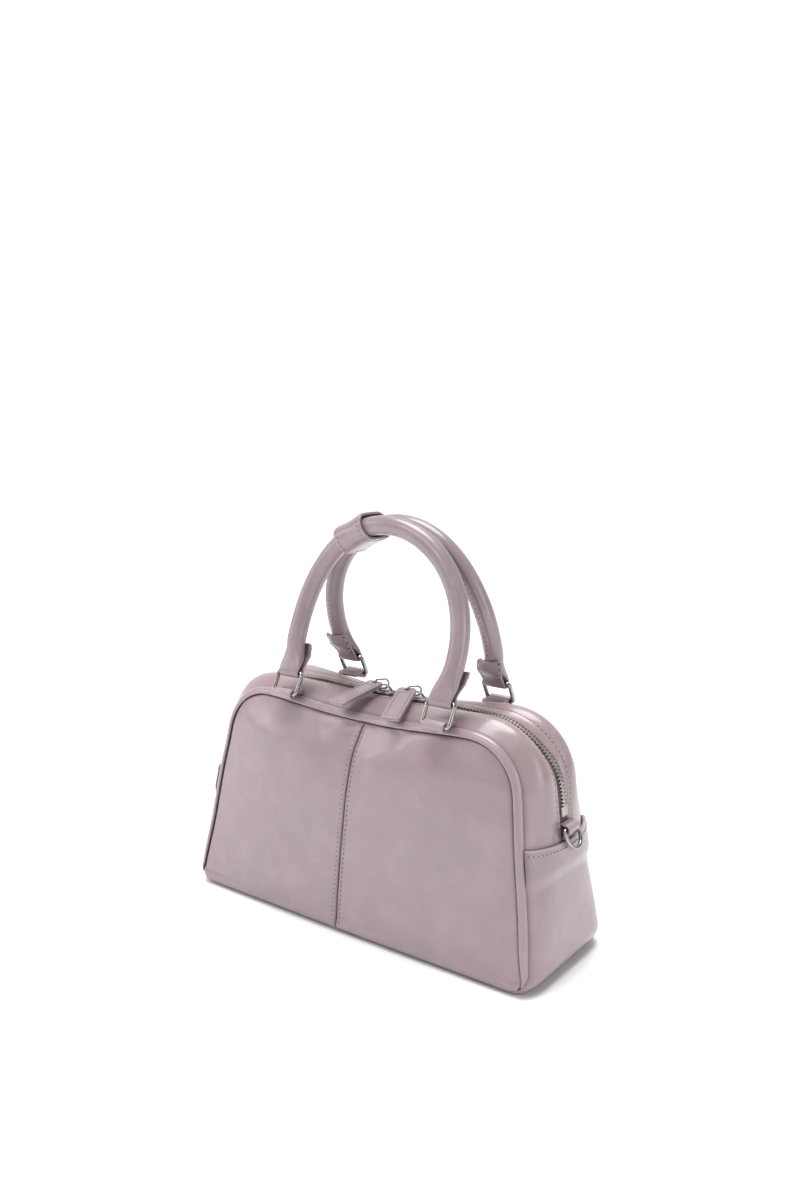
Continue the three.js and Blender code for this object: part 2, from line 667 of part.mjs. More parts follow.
// A leather pull: a strip with an eyelet near its upper end, resting over the edge of the bag's top
function pullTab(pull) {
  const shape = new THREE.Shape();
  const half = PULL_WIDTH / 2;
  const nose = 1.6;
  shape.moveTo(-half, 0);
  shape.lineTo(nose - half, -nose);
  shape.lineTo(half - nose, -nose);
  shape.lineTo(half, 0);
  shape.lineTo(half, PULL_LENGTH);
  shape.lineTo(-half, PULL_LENGTH);
  shape.closePath();
  const eyelet = new THREE.Path();
  eyelet.absarc(0, PULL_EYELET_SET_BACK - nose, PULL_EYELET_RADIUS, 0, 2 * Math.PI, true);
  shape.holes.push(eyelet);
  const geometry = new THREE.ExtrudeGeometry(shape, { depth: PULL_THICKNESS, bevelEnabled: false, curveSegments: 8 });
  geometry.translate(0, nose - PULL_EYELET_SET_BACK, -PULL_THICKNESS / 2);
  const fall = degToRad(pull.fall);
  const along = forwards(pull.turn).multiplyScalar(Math.cos(fall)).add(v3(0, 0, -Math.sin(fall)));
  const across = v3().crossVectors(along, v3(0, 0, 1)).normalize();
  const up = v3().crossVectors(across, along);
  const eyeletPlace = linkCentre(pull).addScaledVector(forwards(pull.linkTurn), LINK_HALF_LENGTH);
  return geometry.applyMatrix4(new THREE.Matrix4().makeBasis(across, along, up).setPosition(eyeletPlace));
}

// Handle and ring places, for the front handle's right leg
const RING_UP = v3(0, Math.sin(RING_LEAN), Math.cos(RING_LEAN));
const RING_CENTRE = v3(HANDLE_RING_SPREAD, -RING_CENTRE_DEPTH, RING_CENTRE_Z);
const UPPER_BAR = RING_CENTRE.clone().addScaledVector(RING_UP, RING_BAR_SPACING / 2);
const LOWER_BAR = RING_CENTRE.clone().addScaledVector(RING_UP, -RING_BAR_SPACING / 2);

function handleRing() {
  const halfLength = RING_INNER_WIDTH / 2 + RING_WIRE_RADIUS;
  return wireLoop(
    roundedLoop(RING_CENTRE, v3(1, 0, 0), RING_UP, halfLength, RING_BAR_SPACING / 2, 2.4, 2),
    RING_WIRE_RADIUS,
  );
}

// The handle's centreline at a height, on its outer side
function handlePoint(z) {
  const share = clamp((z - UPPER_BAR.z) / (HANDLE_APEX_Z - UPPER_BAR.z), 0, 1);
  const y = -lerp(HANDLE_APEX_DEPTH, -UPPER_BAR.y, (1 - share) ** HANDLE_LEAN_POWER);
  if (z < HANDLE_WIDEST_Z) {
    const below = (HANDLE_WIDEST_Z - z) / (HANDLE_WIDEST_Z - UPPER_BAR.z);
    return v3(HANDLE_HALF_WIDTH - (HANDLE_HALF_WIDTH - HANDLE_RING_SPREAD) * below * below, y, z);
  }
  const rise = (z - HANDLE_WIDEST_Z) / (HANDLE_APEX_Z - HANDLE_WIDEST_Z);
  return v3(HANDLE_HALF_WIDTH * Math.sqrt(Math.max(0, 1 - rise * rise)), y, z);
}

// One section ring: an ellipse that squares up as its power falls, bowed across its width
function section(centre, tangent, out, halfWidth, halfThickness, square, bow = 0, sides = 12) {
  const across = v3().crossVectors(out, tangent).normalize();
  const face = v3().crossVectors(tangent, across).normalize();
  return Array.from({ length: sides }, (_, k) => {
    const angle = ((k + 0.5) / sides) * 2 * Math.PI;
    const bend = (value) => Math.sign(value) * Math.abs(value) ** square;
    const [w, t] = [halfWidth * bend(Math.cos(angle)), halfThickness * bend(Math.sin(angle))];
    const lift = t - bow * (w / halfWidth) ** 2;
    return centre.clone().addScaledVector(across, w).addScaledVector(face, lift);
  });
}

// The right half of the front handle's stations, from its apex down, round the ring's bar and up the shield
function handleStations() {
  const stations = [];
  const legTop = UPPER_BAR.z + HANDLE_END_SECTIONS[0].up * SHIELD_LENGTH * RING_UP.z;
  const arcSteps = 9;
  const heights = [];
  for (let k = 0; k <= arcSteps; k++) {
    heights.push(lerp(HANDLE_WIDEST_Z, HANDLE_APEX_Z, Math.cos((k / arcSteps) * (Math.PI / 2))));
  }
  const low = heights.filter((z) => z > legTop + 3);
  low.push(legTop);
  for (const z of low) {
    const centre = handlePoint(z);
    const step = 0.5;
    const top = z > HANDLE_APEX_Z - 0.01;
    const above = handlePoint(Math.min(z + step, HANDLE_APEX_Z));
    const tangent = top ? v3(1, 0, 0) : handlePoint(z - step).sub(above).normalize();
    stations.push(section(centre, tangent, v3(0, -1, 0), HANDLE_RADIUS, HANDLE_RADIUS, 1));
  }
  const down = RING_UP.clone().negate();
  const outer = v3(0, -RING_UP.z, RING_UP.y);
  for (const row of HANDLE_END_SECTIONS.slice(1)) {
    const up = row.up * SHIELD_LENGTH;
    const blend = 1 - row.up;
    const onLine = UPPER_BAR.clone().addScaledVector(RING_UP, up);
    const onLeg = handlePoint(onLine.z);
    const centre = onLeg.lerp(onLine, blend).addScaledVector(outer, row.shift * HANDLE_RADIUS);
    stations.push(section(centre, down, outer, row.width * HANDLE_RADIUS, row.thickness * HANDLE_RADIUS, row.square));
  }
  const loopRadius = RING_WIRE_RADIUS + RING_PLAY + STRAP_THICKNESS / 2;
  const strapHalf = RING_INNER_WIDTH / 2 - RING_PLAY;
  const loopSteps = 6;
  for (let k = 0; k <= loopSteps; k++) {
    const angle = (k / loopSteps) * Math.PI;
    const away = outer.clone().multiplyScalar(Math.cos(angle)).addScaledVector(RING_UP, -Math.sin(angle));
    const tangent = RING_UP.clone().multiplyScalar(-Math.cos(angle)).addScaledVector(outer, -Math.sin(angle));
    const centre = UPPER_BAR.clone().addScaledVector(away, loopRadius);
    stations.push(section(centre, tangent, away, strapHalf, STRAP_THICKNESS / 2, 0.45));
  }
  const inner = outer.clone().negate();
  for (const row of SHIELD_SECTIONS) {
    const up = row.up * SHIELD_LENGTH;
    const onLine = UPPER_BAR.clone().addScaledVector(RING_UP, up);
    const follow = row.up * row.up;
    const centre = onLine.clone().lerp(handlePoint(onLine.z), follow);
    centre.addScaledVector(inner, row.standOff * HANDLE_RADIUS + GAP);
    stations.push(
      section(centre, RING_UP, inner, row.width * SHIELD_HALF_WIDTH, STRAP_THICKNESS / 2, 0.45, follow),
    );
  }
  return stations;
}

// The left half is the right one mirrored
function handle() {
  const right = handleStations();
  const left = right.slice(1).map((ring) => ring.map((p) => v3(-p.x, p.y, p.z)));
  return sweptSolid([...left.reverse(), ...right]);
}

// The leather loop that holds a handle ring to the bag, sewn in behind the piping
function chape() {
  const outerZone = 5 - (HANDLE_RING_SPREAD + CHAPE_WIDTH / 2) / SHOULDER.x;
  const s = seamAt(outerZone);
  const bore = RING_WIRE_RADIUS + RING_PLAY;
  const rim = bore + CHAPE_THICKNESS;
  const pipingTop = s.z + PIPING_REACH;
  const tailLow = pipingTop + GAP;
  const tailHigh = tailLow + 1.8 * CHAPE_THICKNESS;
  const rootY = bandInset(outerZone) - s.depth + GAP;
  const rootInnerY = rootY + CHAPE_THICKNESS;
  const rootLow = (y) => bandPoint(outerZone, y).z + 2 * GAP;
  const shape = new THREE.Shape();
  const { y, z } = LOWER_BAR;
  const from = Math.asin(clamp((tailHigh - z) / rim, -1, 1));
  const to = 2 * Math.PI + Math.asin(clamp((tailLow - z) / rim, -1, 1));
  shape.absarc(y, z, rim, from, to, false);
  shape.lineTo(rootY, tailLow);
  shape.lineTo(rootY, Math.min(rootLow(rootY), tailLow - GAP));
  shape.lineTo(rootInnerY, rootLow(rootInnerY));
  shape.lineTo(rootInnerY, tailHigh - GAP);
  shape.lineTo(rootY, tailHigh);
  shape.closePath();
  const hole = new THREE.Path();
  hole.absarc(y, z, bore, 0, 2 * Math.PI, true);
  shape.holes.push(hole);
  return slab(shape, CHAPE_WIDTH, "yz", 8).translate(HANDLE_RING_SPREAD, 0, 0);
}

// The keeper: a flattened leather band round both handles, square to them where it sits
function keeperBand() {
  const share = KEEPER_X / HANDLE_HALF_WIDTH;
  const z = lerp(HANDLE_WIDEST_Z, HANDLE_APEX_Z, Math.sqrt(1 - share * share));
  const slope = (-share * (HANDLE_APEX_Z - HANDLE_WIDEST_Z)) / (HANDLE_HALF_WIDTH * Math.sqrt(1 - share * share));
  const innerHalf = -handlePoint(z).y + HANDLE_RADIUS + KEEPER_SIDE_ROOM;
  const innerHeight = HANDLE_RADIUS + KEEPER_HEIGHT_ROOM;
  const stadium = (Target, grow, clockwise) => {
    const path = new Target();
    const [half, radius] = [innerHalf - innerHeight, innerHeight + grow];
    path.absarc(half, 0, radius, -Math.PI / 2, Math.PI / 2, false);
    path.absarc(-half, 0, radius, Math.PI / 2, 1.5 * Math.PI, false);
    path.closePath();
    return clockwise ? new THREE.Path(path.getPoints(8).reverse()) : path;
  };
  const shape = stadium(THREE.Shape, KEEPER_THICKNESS, false);
  shape.holes.push(stadium(THREE.Path, 0, true));
  const geometry = slab(shape, KEEPER_LENGTH, "yz", 8);
  geometry.translate(0, 0, -KEEPER_SAG);
  geometry.rotateY(-Math.atan(slope));
  return geometry.translate(KEEPER_X, 0, z);
}

// The right-hand D-ring, hanging from its bar, and the leather tab that holds it
const endZoneAt = (z) => 2 + (z - seamAt(2).z) / (seamAt(3).z - seamAt(2).z);
const endX = (z) => bandPoint(endZoneAt(z), 0).x;
const D_TAB_BORE = D_RING_WIRE_RADIUS + RING_PLAY;
const D_TAB_RIM = D_TAB_BORE + D_TAB_THICKNESS;
const D_BAR = v3(endX(D_RING_BAR_Z) + D_TAB_RIM + 1.5 * GAP, 0, D_RING_BAR_Z);
function dRing() {
  const down = v3(Math.sin(D_RING_TILT), 0, -Math.cos(D_RING_TILT));
  const corner = D_RING_CORNER_RADIUS;
  const [cornerSteps, bowSteps] = [3, 9];
  const bowStart = 2 * corner;
  const outline = [];
  for (let k = 0; k <= cornerSteps; k++) {
    const angle = (k / cornerSteps) * (Math.PI / 2);
    outline.push([D_RING_HALF_WIDTH - corner + corner * Math.sin(angle), corner - corner * Math.cos(angle)]);
  }
  const corners = [...outline];
  for (let k = 0; k <= bowSteps; k++) {
    const angle = (k / bowSteps) * Math.PI;
    outline.push([D_RING_HALF_WIDTH * Math.cos(angle), bowStart + (D_RING_DROP - bowStart) * Math.sin(angle)]);
  }
  outline.push(...corners.reverse().map(([y, fall]) => [-y, fall]));
  const path = outline.map(([y, fall]) => D_BAR.clone().add(v3(0, y, 0)).addScaledVector(down, fall));
  return wireLoop(path, D_RING_WIRE_RADIUS);
}

function dTab() {
  const low = endTopZ() + 4 * GAP;
  const high = low + D_TAB_ROOT_HEIGHT;
  const rootX = (z) => endX(z) + 2 * GAP;
  const shape = new THREE.Shape();
  shape.moveTo(rootX(high), high);
  shape.lineTo(rootX(low), low);
  shape.lineTo(rootX(low) + D_TAB_THICKNESS, low);
  shape.absarc(D_BAR.x, D_BAR.z, D_TAB_RIM, -0.55 * Math.PI, 0.6 * Math.PI, false);
  shape.closePath();
  const hole = new THREE.Path();
  hole.absarc(D_BAR.x, D_BAR.z, D_TAB_BORE, 0, 2 * Math.PI, true);
  shape.holes.push(hole);
  return slab(shape, 2 * D_TAB_HALF_WIDTH, "xz", 8);
}

// Finishes
const leather = () => new THREE.MeshStandardMaterial({ color: 0xcbb8bf, roughness: 0.38, metalness: 0 });
const edgePaint = () => new THREE.MeshStandardMaterial({ color: 0xc2abb4, roughness: 0.5, metalness: 0 });
const tape = () => new THREE.MeshStandardMaterial({ color: 0xa8929b, roughness: 0.9, metalness: 0 });
const metal = () => new THREE.MeshStandardMaterial({ color: 0xbab7b0, roughness: 0.25, metalness: 1 });

const bag = new THREE.Group();
function add(name, geometry, material) {
  const mesh = new THREE.Mesh(geometry, material);
  mesh.name = name;
  bag.add(mesh);
}

add("front_panel_left", faceHalf(-1), leather());
add("front_panel_right", faceHalf(1), leather());
add("back_panel", backPanel(), leather());
add("lower_band", lowerBand(), leather());
for (const [side, turn] of [["front", (g) => g], ["back", (g) => mirrored(g, "y")]]) {
  add(`${side}_piping`, turn(piping()), leather());
  add(`upper_band_${side}`, turn(upperBand()), leather());
  add(`zip_tape_${side}`, turn(zipTape()), tape());
  add(`${side}_handle`, turn(handle()), leather());
  for (const [end, flip] of [["right", (g) => g], ["left", (g) => mirrored(g, "x")]]) {
    add(`${side}_ring_${end}`, turn(flip(handleRing())), metal());
    add(`${side}_chape_${end}`, turn(flip(chape())), edgePaint());
  }
}
add("zip_chain", zipChain(), metal());
for (const pull of PULLS) {
  add(`zip_slider_${pull.name}`, slider(pull.sliderX), metal());
  add(`pull_link_${pull.name}`, pullLink(pull), metal());
  add(`pull_tab_${pull.name}`, pullTab(pull), edgePaint());
}
for (const [end, flip] of [["right", (g) => g], ["left", (g) => mirrored(g, "x")]]) {
  add(`d_ring_${end}`, flip(dRing()), metal());
  add(`d_ring_tab_${end}`, flip(dTab()), edgePaint());
}
add("keeper_band", keeperBand(), leather());

export default bag;
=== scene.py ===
"""Looks for a small boston bag in glossy, cloudy leather, with piping, a two-slider zip and rolled handles.
Sizes are millimetres until a mesh is laid. The frame is the CAD part's: +X along the bag, +Y to its back."""
import math
from functools import lru_cache

import bmesh
import bpy
from mathutils import Matrix, Vector, noise


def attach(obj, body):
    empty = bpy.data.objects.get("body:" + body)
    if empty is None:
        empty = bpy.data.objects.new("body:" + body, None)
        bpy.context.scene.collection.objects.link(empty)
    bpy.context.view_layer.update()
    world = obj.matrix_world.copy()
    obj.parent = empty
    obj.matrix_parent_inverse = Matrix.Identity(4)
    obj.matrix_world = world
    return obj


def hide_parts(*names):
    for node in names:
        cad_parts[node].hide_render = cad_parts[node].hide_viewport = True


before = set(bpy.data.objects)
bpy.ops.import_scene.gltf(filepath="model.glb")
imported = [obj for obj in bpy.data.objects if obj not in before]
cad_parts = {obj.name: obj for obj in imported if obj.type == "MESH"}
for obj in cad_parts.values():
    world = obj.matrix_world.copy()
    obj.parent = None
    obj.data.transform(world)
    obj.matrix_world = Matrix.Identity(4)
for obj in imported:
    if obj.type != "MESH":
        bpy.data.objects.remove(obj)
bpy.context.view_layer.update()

MM = 0.001

# Sizes shared with the CAD part
GAP = 0.3
LEATHER = 2.0
BASE_HALF_LENGTH = 136.4
SHOULDER_HALF_LENGTH = 112
SEAM_LIFT = 3
SEAM_TOP = 150
BASE_CORNER_RADIUS = 9
SHOULDER_RADIUS = 36
TOP_DIP = 5.4
BASE_HALF_DEPTH = 52
BAND_SWELL = 11
FACE_SWELL = 10.6
SEAM_SLANT = 7
PIPING_HALF_WIDTH = 2.9
PIPING_HALF_THICKNESS = 1.45
PIPING_SET_BACK = 1.2
PIPING_TIP_SHARE = 0.2
PIPING_START_ZONE = 1.62
LAP_HEIGHT = 8
LAP_RAISE = LEATHER + 2 * GAP
END_TOP_DIP = 3.7
END_TOP_ZONE = 2.7
ZIP_SLOT_HALF = 4.3
CHAIN_HALF_WIDTH = 3
CHAIN_HEIGHT = 1.6
TAPE_HALF_WIDTH = 12
SLIDER_LENGTH = 16
SLIDER_PLATE = 1.6
CROWN_HEIGHT = 4.2
CROWN_WIDTH = 2
LINK_WIRE_RADIUS = 0.65
PULL_WIDTH = 12.5
PULL_THICKNESS = 2.6
PULL_LENGTH = 38
HANDLE_RADIUS = 6.3
HANDLE_HALF_WIDTH = 63.8
HANDLE_RING_SPREAD = HANDLE_HALF_WIDTH - 2.8
HANDLE_WIDEST_Z = 193
HANDLE_APEX_Z = 267
HANDLE_APEX_DEPTH = 6.6
HANDLE_LEAN_POWER = 1.9
SHIELD_LENGTH = 23
SHIELD_HALF_WIDTH = 10.2
STRAP_THICKNESS = 2
RING_WIRE_RADIUS = 1.3
RING_INNER_WIDTH = 17.4
RING_BAR_SPACING = 15.4
RING_LEAN = math.radians(28)
RING_CENTRE = Vector((HANDLE_RING_SPREAD, -35.4, 160))
RING_PLAY = 0.5
CHAPE_WIDTH = 15.5
CHAPE_THICKNESS = 1.8
KEEPER_X = -26
KEEPER_LENGTH = 24
KEEPER_THICKNESS = 1.8
KEEPER_SIDE_ROOM = 1.2
KEEPER_HEIGHT_ROOM = 1.4
KEEPER_SAG = 0.6
D_RING_WIRE_RADIUS = 1.25
D_RING_HALF_WIDTH = 8.3
D_RING_DROP = 13
D_RING_BAR_Z = 94.2
D_RING_TILT = math.radians(25)
D_TAB_HALF_WIDTH = 6.5
D_TAB_THICKNESS = 1.6
D_TAB_ROOT_HEIGHT = 9.5
D_RING_CORNER_RADIUS = 2

# Sizes of the looks alone
PANEL_WALL = 1.4
TAPE_WALL = 0.8
TOOTH_PITCH = 2.3
TOOTH_RAISE = 1.4
STOP_RAISE = 1
CENTRE_ROW_OFFSET = 3
ZIP_ROW_OFFSET = 4.6
END_ROW_DROP = 3.5
KEEPER_ROW_INSET = 2.6
PULL_ROW_INSET = 1.9
PULL_CORNER = 0.8
RING_CORNER_RADIUS = 2.4
HANDLE_SIDES = 56

# Round half the seam line: zone, depth share, swell share, power and lobe share
BAND_SECTIONS = [
    (0, 0.985, 0.27, 14, 0),
    (1, 0.965, 0.27, 14, 0),
    (2, 0.925, 0.62, 8, 0),
    (2.35, 0.83, 0.84, 4.5, 0),
    (2.7, 0.76, 0.98, 3, 0),
    (3, 0.675, 0.96, 2.3, 0.28),
    (3.5, 0.64, 0.36, 2, 0.72),
    (4, 0.635, 0.38, 2, 0.5),
    (4.35, 0.628, 0.66, 2, 0.2),
    (5, 0.56, 1, 2, 0),
]

# Up a face panel: height and swell share
FACE_SECTIONS = [(0, 0), (0.17, 0.4), (0.33, 0.66), (0.52, 0.85), (0.7, 1), (0.84, 0.9), (0.93, 0.46), (1, 0)]

# Up the handle's end from the ring's bar: height, width, thickness, shift to the outer side, squareness
HANDLE_END_SECTIONS = [
    (0.96, 1, 1, 0, 1),
    (0.68, 1.08, 0.88, 0.03, 0.95),
    (0.4, 1.22, 0.58, 0.15, 0.7),
    (0.22, 1.28, 0.34, 0.33, 0.5),
]

# Up the shield folded back on the handle's inner side: height, width, stand-off
SHIELD_SECTIONS = [
    (0.22, 0.77, 0.48),
    (0.42, 0.82, 0.72),
    (0.62, 0.94, 1.06),
    (0.78, 1, 1.19),
    (0.92, 0.96, 1.24),
    (1, 0.78, 1.25),
]

# Pulls: name, x of the slider, turn of the link, turn of the leather, fall
PULLS = [("left", -5.9, -40, -5, 9.5), ("right", 20.7, -40, 19, 14.5)]

# Soft folds pressed into the front leather: start x and z, end x and z, half width and depth
FACE_FOLDS = [
    (-8, 145, -30, 132, 4.5, 1.5),
    (27, 146, 38, 137, 4, 1.3),
    (10, 144, 20, 128, 7, 0.7),
    (-52, 146, -78, 120, 9, 0.5),
]


def lerp(a, b, share):
    return a + (b - a) * share


def smooth(value, low, high):
    share = min(1, max(0, (value - low) / (high - low)))
    return share * share * (3 - 2 * share)


def bump(value, width):
    """A soft hump, 1 at the middle and gone past about twice its width"""
    return math.exp(-((value / width) ** 2))


def from_table(rows, at):
    """The values beside a key, read smoothly between a table's rows"""
    last = len(rows) - 1
    i = 0
    while i < last - 1 and at > rows[i + 1][0]:
        i += 1
    span = rows[i + 1][0] - rows[i][0]
    t = min(1, max(0, (at - rows[i][0]) / span))
    before = max(0, i - 1)
    after = min(last, i + 2)
    values = []
    for column in range(1, len(rows[0])):
        start, end = rows[i][column], rows[i + 1][column]
        slope_in = (end - rows[before][column]) / (rows[i + 1][0] - rows[before][0])
        slope_out = (rows[after][column] - start) / (rows[after][0] - rows[i][0])
        values.append(
            (2 * t**3 - 3 * t**2 + 1) * start
            + (t**3 - 2 * t**2 + t) * span * slope_in
            + (3 * t**2 - 2 * t**3) * end
            + (t**3 - t**2) * span * slope_out
        )
    return values


# The seam line where a face panel meets the gusset band
END_LEAN = math.atan((BASE_HALF_LENGTH - SHOULDER_HALF_LENGTH) / (SEAM_TOP - SEAM_LIFT))
END_REACH = BASE_HALF_LENGTH * math.cos(END_LEAN) + SEAM_LIFT * math.sin(END_LEAN)


def corner_centre(radius, z):
    return ((END_REACH - radius - z * math.sin(END_LEAN)) / math.cos(END_LEAN), z)


BASE_CORNER = corner_centre(BASE_CORNER_RADIUS, SEAM_LIFT + BASE_CORNER_RADIUS)
SHOULDER = corner_centre(SHOULDER_RADIUS, SEAM_TOP - SHOULDER_RADIUS)


def on_arc(centre, radius, angle):
    across, up = math.cos(angle), math.sin(angle)
    return centre[0] + radius * across, centre[1] + radius * up, across, up


@lru_cache(maxsize=None)
def seam_at(signed_zone):
    """x, z, outward x and z, half depth, swell, power and lobe of the band at a place on the seam line"""
    zone = abs(signed_zone)
    if zone <= 1:
        x, z, nx, nz = zone * BASE_CORNER[0], SEAM_LIFT, 0, -1
    elif zone <= 2:
        x, z, nx, nz = on_arc(BASE_CORNER, BASE_CORNER_RADIUS, lerp(-math.pi / 2, END_LEAN, zone - 1))
    elif zone <= 3:
        x0, z0, nx, nz = on_arc(BASE_CORNER, BASE_CORNER_RADIUS, END_LEAN)
        x1, z1, _, _ = on_arc(SHOULDER, SHOULDER_RADIUS, END_LEAN)
        x, z = lerp(x0, x1, zone - 2), lerp(z0, z1, zone - 2)
    elif zone <= 4:
        x, z, nx, nz = on_arc(SHOULDER, SHOULDER_RADIUS, lerp(END_LEAN, math.pi / 2, zone - 3))
    else:
        share = 5 - zone
        slope = 4 * TOP_DIP * share * (1 - share * share) / SHOULDER[0]
        length = math.hypot(1, slope)
        x, z = share * SHOULDER[0], SEAM_TOP - TOP_DIP * (1 - share * share) ** 2
        nx, nz = -slope / length, 1 / length
    side = -1 if signed_zone < 0 else 1
    depth, swell, power, lobe = from_table(BAND_SECTIONS, zone)
    return side * x, z, side * nx, nz, depth * BASE_HALF_DEPTH, swell * BAND_SWELL, power, lobe * BAND_SWELL


def band_point(zone, y, lift=0):
    """A point of the gusset band at a zone and a depth y, lifted off its surface"""
    x, z, nx, nz, depth, swell, power, lobe = seam_at(zone)
    v = min(1, max(-1, y / depth))
    out = swell * (1 - abs(v) ** power) + lobe * math.sin(math.pi * v) ** 2
    crown_fall = swell * power * abs(v) ** (power - 1) * math.copysign(1, v)
    fall = (crown_fall - lobe * math.pi * math.sin(2 * math.pi * v)) / depth
    normal = Vector((nx, fall, nz)).normalized()
    return Vector((x + nx * out, y, z + nz * out)) + normal * lift


PIPING_REACH = math.hypot(PIPING_HALF_WIDTH, PIPING_HALF_THICKNESS) * math.sqrt(0.5)


def piping_share(zone):
    """How much of its full size the piping has, which tapers to a tip above the base"""
    return lerp(PIPING_TIP_SHARE, 1, smooth(abs(zone), PIPING_START_ZONE, PIPING_START_ZONE + 0.6))


def seam_inset(zone):
    opening = smooth(abs(zone), PIPING_START_ZONE - 0.3, PIPING_START_ZONE - 0.05)
    return opening * piping_share(zone) * PIPING_REACH + lerp(GAP / 2, 1.5 * GAP, opening)


def band_inset(zone):
    opening = smooth(abs(zone), PIPING_START_ZONE - 0.3, PIPING_START_ZONE - 0.05)
    return seam_inset(zone) + opening * piping_share(zone) * PIPING_SET_BACK


def running_length(points):
    """How far along a line each of its points is"""
    lengths = [0]
    for a, b in zip(points, points[1:]):
        lengths.append(lengths[-1] + (b - a).length)
    return lengths


def walked(lengths, goals):
    """For each goal on the way along a line, the step that it falls in and the share of that step"""
    k = 0
    for goal in goals:
        while k < len(lengths) - 2 and lengths[k + 1] < goal:
            k += 1
        yield k, (goal - lengths[k]) / max(1e-9, lengths[k + 1] - lengths[k])


def spaced(points, steps):
    """Points spread evenly along a line"""
    lengths = running_length(points)
    goals = [k / steps * lengths[-1] for k in range(steps + 1)]
    return [points[k].lerp(points[k + 1], t) for k, t in walked(lengths, goals)]


def zone_run(start, end, count, bend):
    """Zones from one place to another, closer together where the seam line bends"""
    zones = [lerp(start, end, k / 1500) for k in range(1501)]
    weights, last = [0], None
    for zone in zones:
        x, z, nx, nz = seam_at(10 - zone if zone > 5 else zone)[:4]
        if zone > 5:
            x, nx = -x, -nx
        if last:
            turn = math.hypot(nx - last[2], nz - last[3])
            weights.append(weights[-1] + math.hypot(x - last[0], z - last[1]) + bend * turn)
        last = (x, z, nx, nz)
    run = []
    for k, t in walked(weights, [weights[-1] * step / count for step in range(count + 1)]):
        zone = lerp(zones[k], zones[k + 1], t)
        run.append(zone - 10 if zone > 5 else zone)
    return run


def panel_edge(start, end):
    """A face panel's boundary between two zones, as a fine line"""
    points = []
    for k in range(401):
        zone = lerp(start, end, k / 400)
        zone = zone - 10 if zone > 5 else zone
        x, z, nx, nz, depth = seam_at(zone)[:5]
        inset = seam_inset(zone)
        points.append(Vector((x - nx * inset, -depth, z - nz * inset)))
    return points


EDGE_STEPS = 1200
PANEL_EDGES = {
    name: spaced(panel_edge(start, end), EDGE_STEPS)
    for name, start, end in [
        ("base", -1.5, 1.5),
        ("right", 1.5, 3.5),
        ("left", -1.5, -3.5),
        ("top", 6.5, 3.5),
    ]
}


def edge_point(name, share):
    at = min(1, max(0, share)) * EDGE_STEPS
    k = min(EDGE_STEPS - 1, int(at))
    return PANEL_EDGES[name][k].lerp(PANEL_EDGES[name][k + 1], at - k)


def seam_share(v):
    return 0.5 - (1 - v) * SEAM_SLANT / (2 * BASE_HALF_LENGTH)


def face_point(u, v):
    """A point of the plain front face: u from its left edge to its right, v from its base to its top"""
    base, top = edge_point("base", u), edge_point("top", u)
    left, right = edge_point("left", v), edge_point("right", v)
    point = base * (1 - v) + top * v + left * (1 - u) + right * u
    point -= edge_point("base", 0) * ((1 - u) * (1 - v)) + edge_point("base", 1) * (u * (1 - v))
    point -= edge_point("top", 0) * ((1 - u) * v) + edge_point("top", 1) * (u * v)
    across = 1 - abs(2 * u - 1) ** 2.4
    point.y -= FACE_SWELL * across * from_table(FACE_SECTIONS, v)[0]
    return point


def edge_distance(u, v):
    """Roughly how far a place on a face panel is from its nearest edge, in millimetres"""
    return min(264 * u, 264 * (1 - u), 145 * v + 0.6, 145 * (1 - v))


def fold_depth(x, z):
    """How far the soft folds press the leather in at a place on the front"""
    depth = 0
    for x0, z0, x1, z1, width, deep in FACE_FOLDS:
        along = Vector((x1 - x0, z1 - z0))
        share = min(1, max(0, Vector((x - x0, z - z0)).dot(along) / along.length_squared))
        away = math.hypot(x - x0 - along.x * share, z - z0 - along.y * share)
        depth += deep * bump(away, width * (1 + share)) * (1 - share) ** 0.7
    return depth


def rolled_edge(edge):
    """How much a face panel rises near its edge and then turns under"""
    return 0.12 * bump(edge - 4, 3) - 1.3 * math.exp(-max(0, edge) / 0.8)


def ripple(point, size, seed=0):
    """A gentle waviness of about this size, between -1 and 1"""
    return noise.noise(Vector((point.x / size, point.y / size + seed, point.z / size)))


def front_leather(u, v):
    """The front face with its turned seam, pressed stitch rows, folds and waviness"""
    point = face_point(u, v)
    aside = abs(2 * BASE_HALF_LENGTH * (u - seam_share(v)))
    ends = smooth(v, 0, 0.03) * smooth(1 - v, 0, 0.03)
    seam = -1.1 * bump(aside, 0.8) + 0.35 * bump(aside - 1.7, 0.9)
    seam -= 0.3 * bump(aside - CENTRE_ROW_OFFSET, 0.6)
    edge = edge_distance(u, v)
    wave = smooth(edge, 0, 14) * (0.7 * ripple(point, 46) + 0.12 * ripple(point, 13, 4))
    point.y -= ends * seam + rolled_edge(edge) + wave - smooth(edge, 0, 3) * fold_depth(point.x, point.z)
    return point


def back_leather(u, v):
    """The back face: one plain panel with its own waviness, before it is turned to the back"""
    point = face_point(u, v)
    edge = edge_distance(u, v)
    wave = smooth(edge, 0, 14) * (0.6 * ripple(point, 52, 9) + 0.12 * ripple(point, 14, 6))
    point.y -= rolled_edge(edge) + wave
    return point


# Materials
class Value:
    """A socket of a material that sums and products can take"""

    def __init__(self, paint, socket):
        self.paint = paint
        self.socket = socket

    def _with(self, operation, first, second):
        return self.paint.node("ShaderNodeMath", {"operation": operation}, {0: first, 1: second})

    def __add__(self, other):
        return self._with("ADD", self, other)

    def __radd__(self, other):
        return self._with("ADD", other, self)

    def __mul__(self, other):
        return self._with("MULTIPLY", self, other)

    def __rmul__(self, other):
        return self._with("MULTIPLY", other, self)


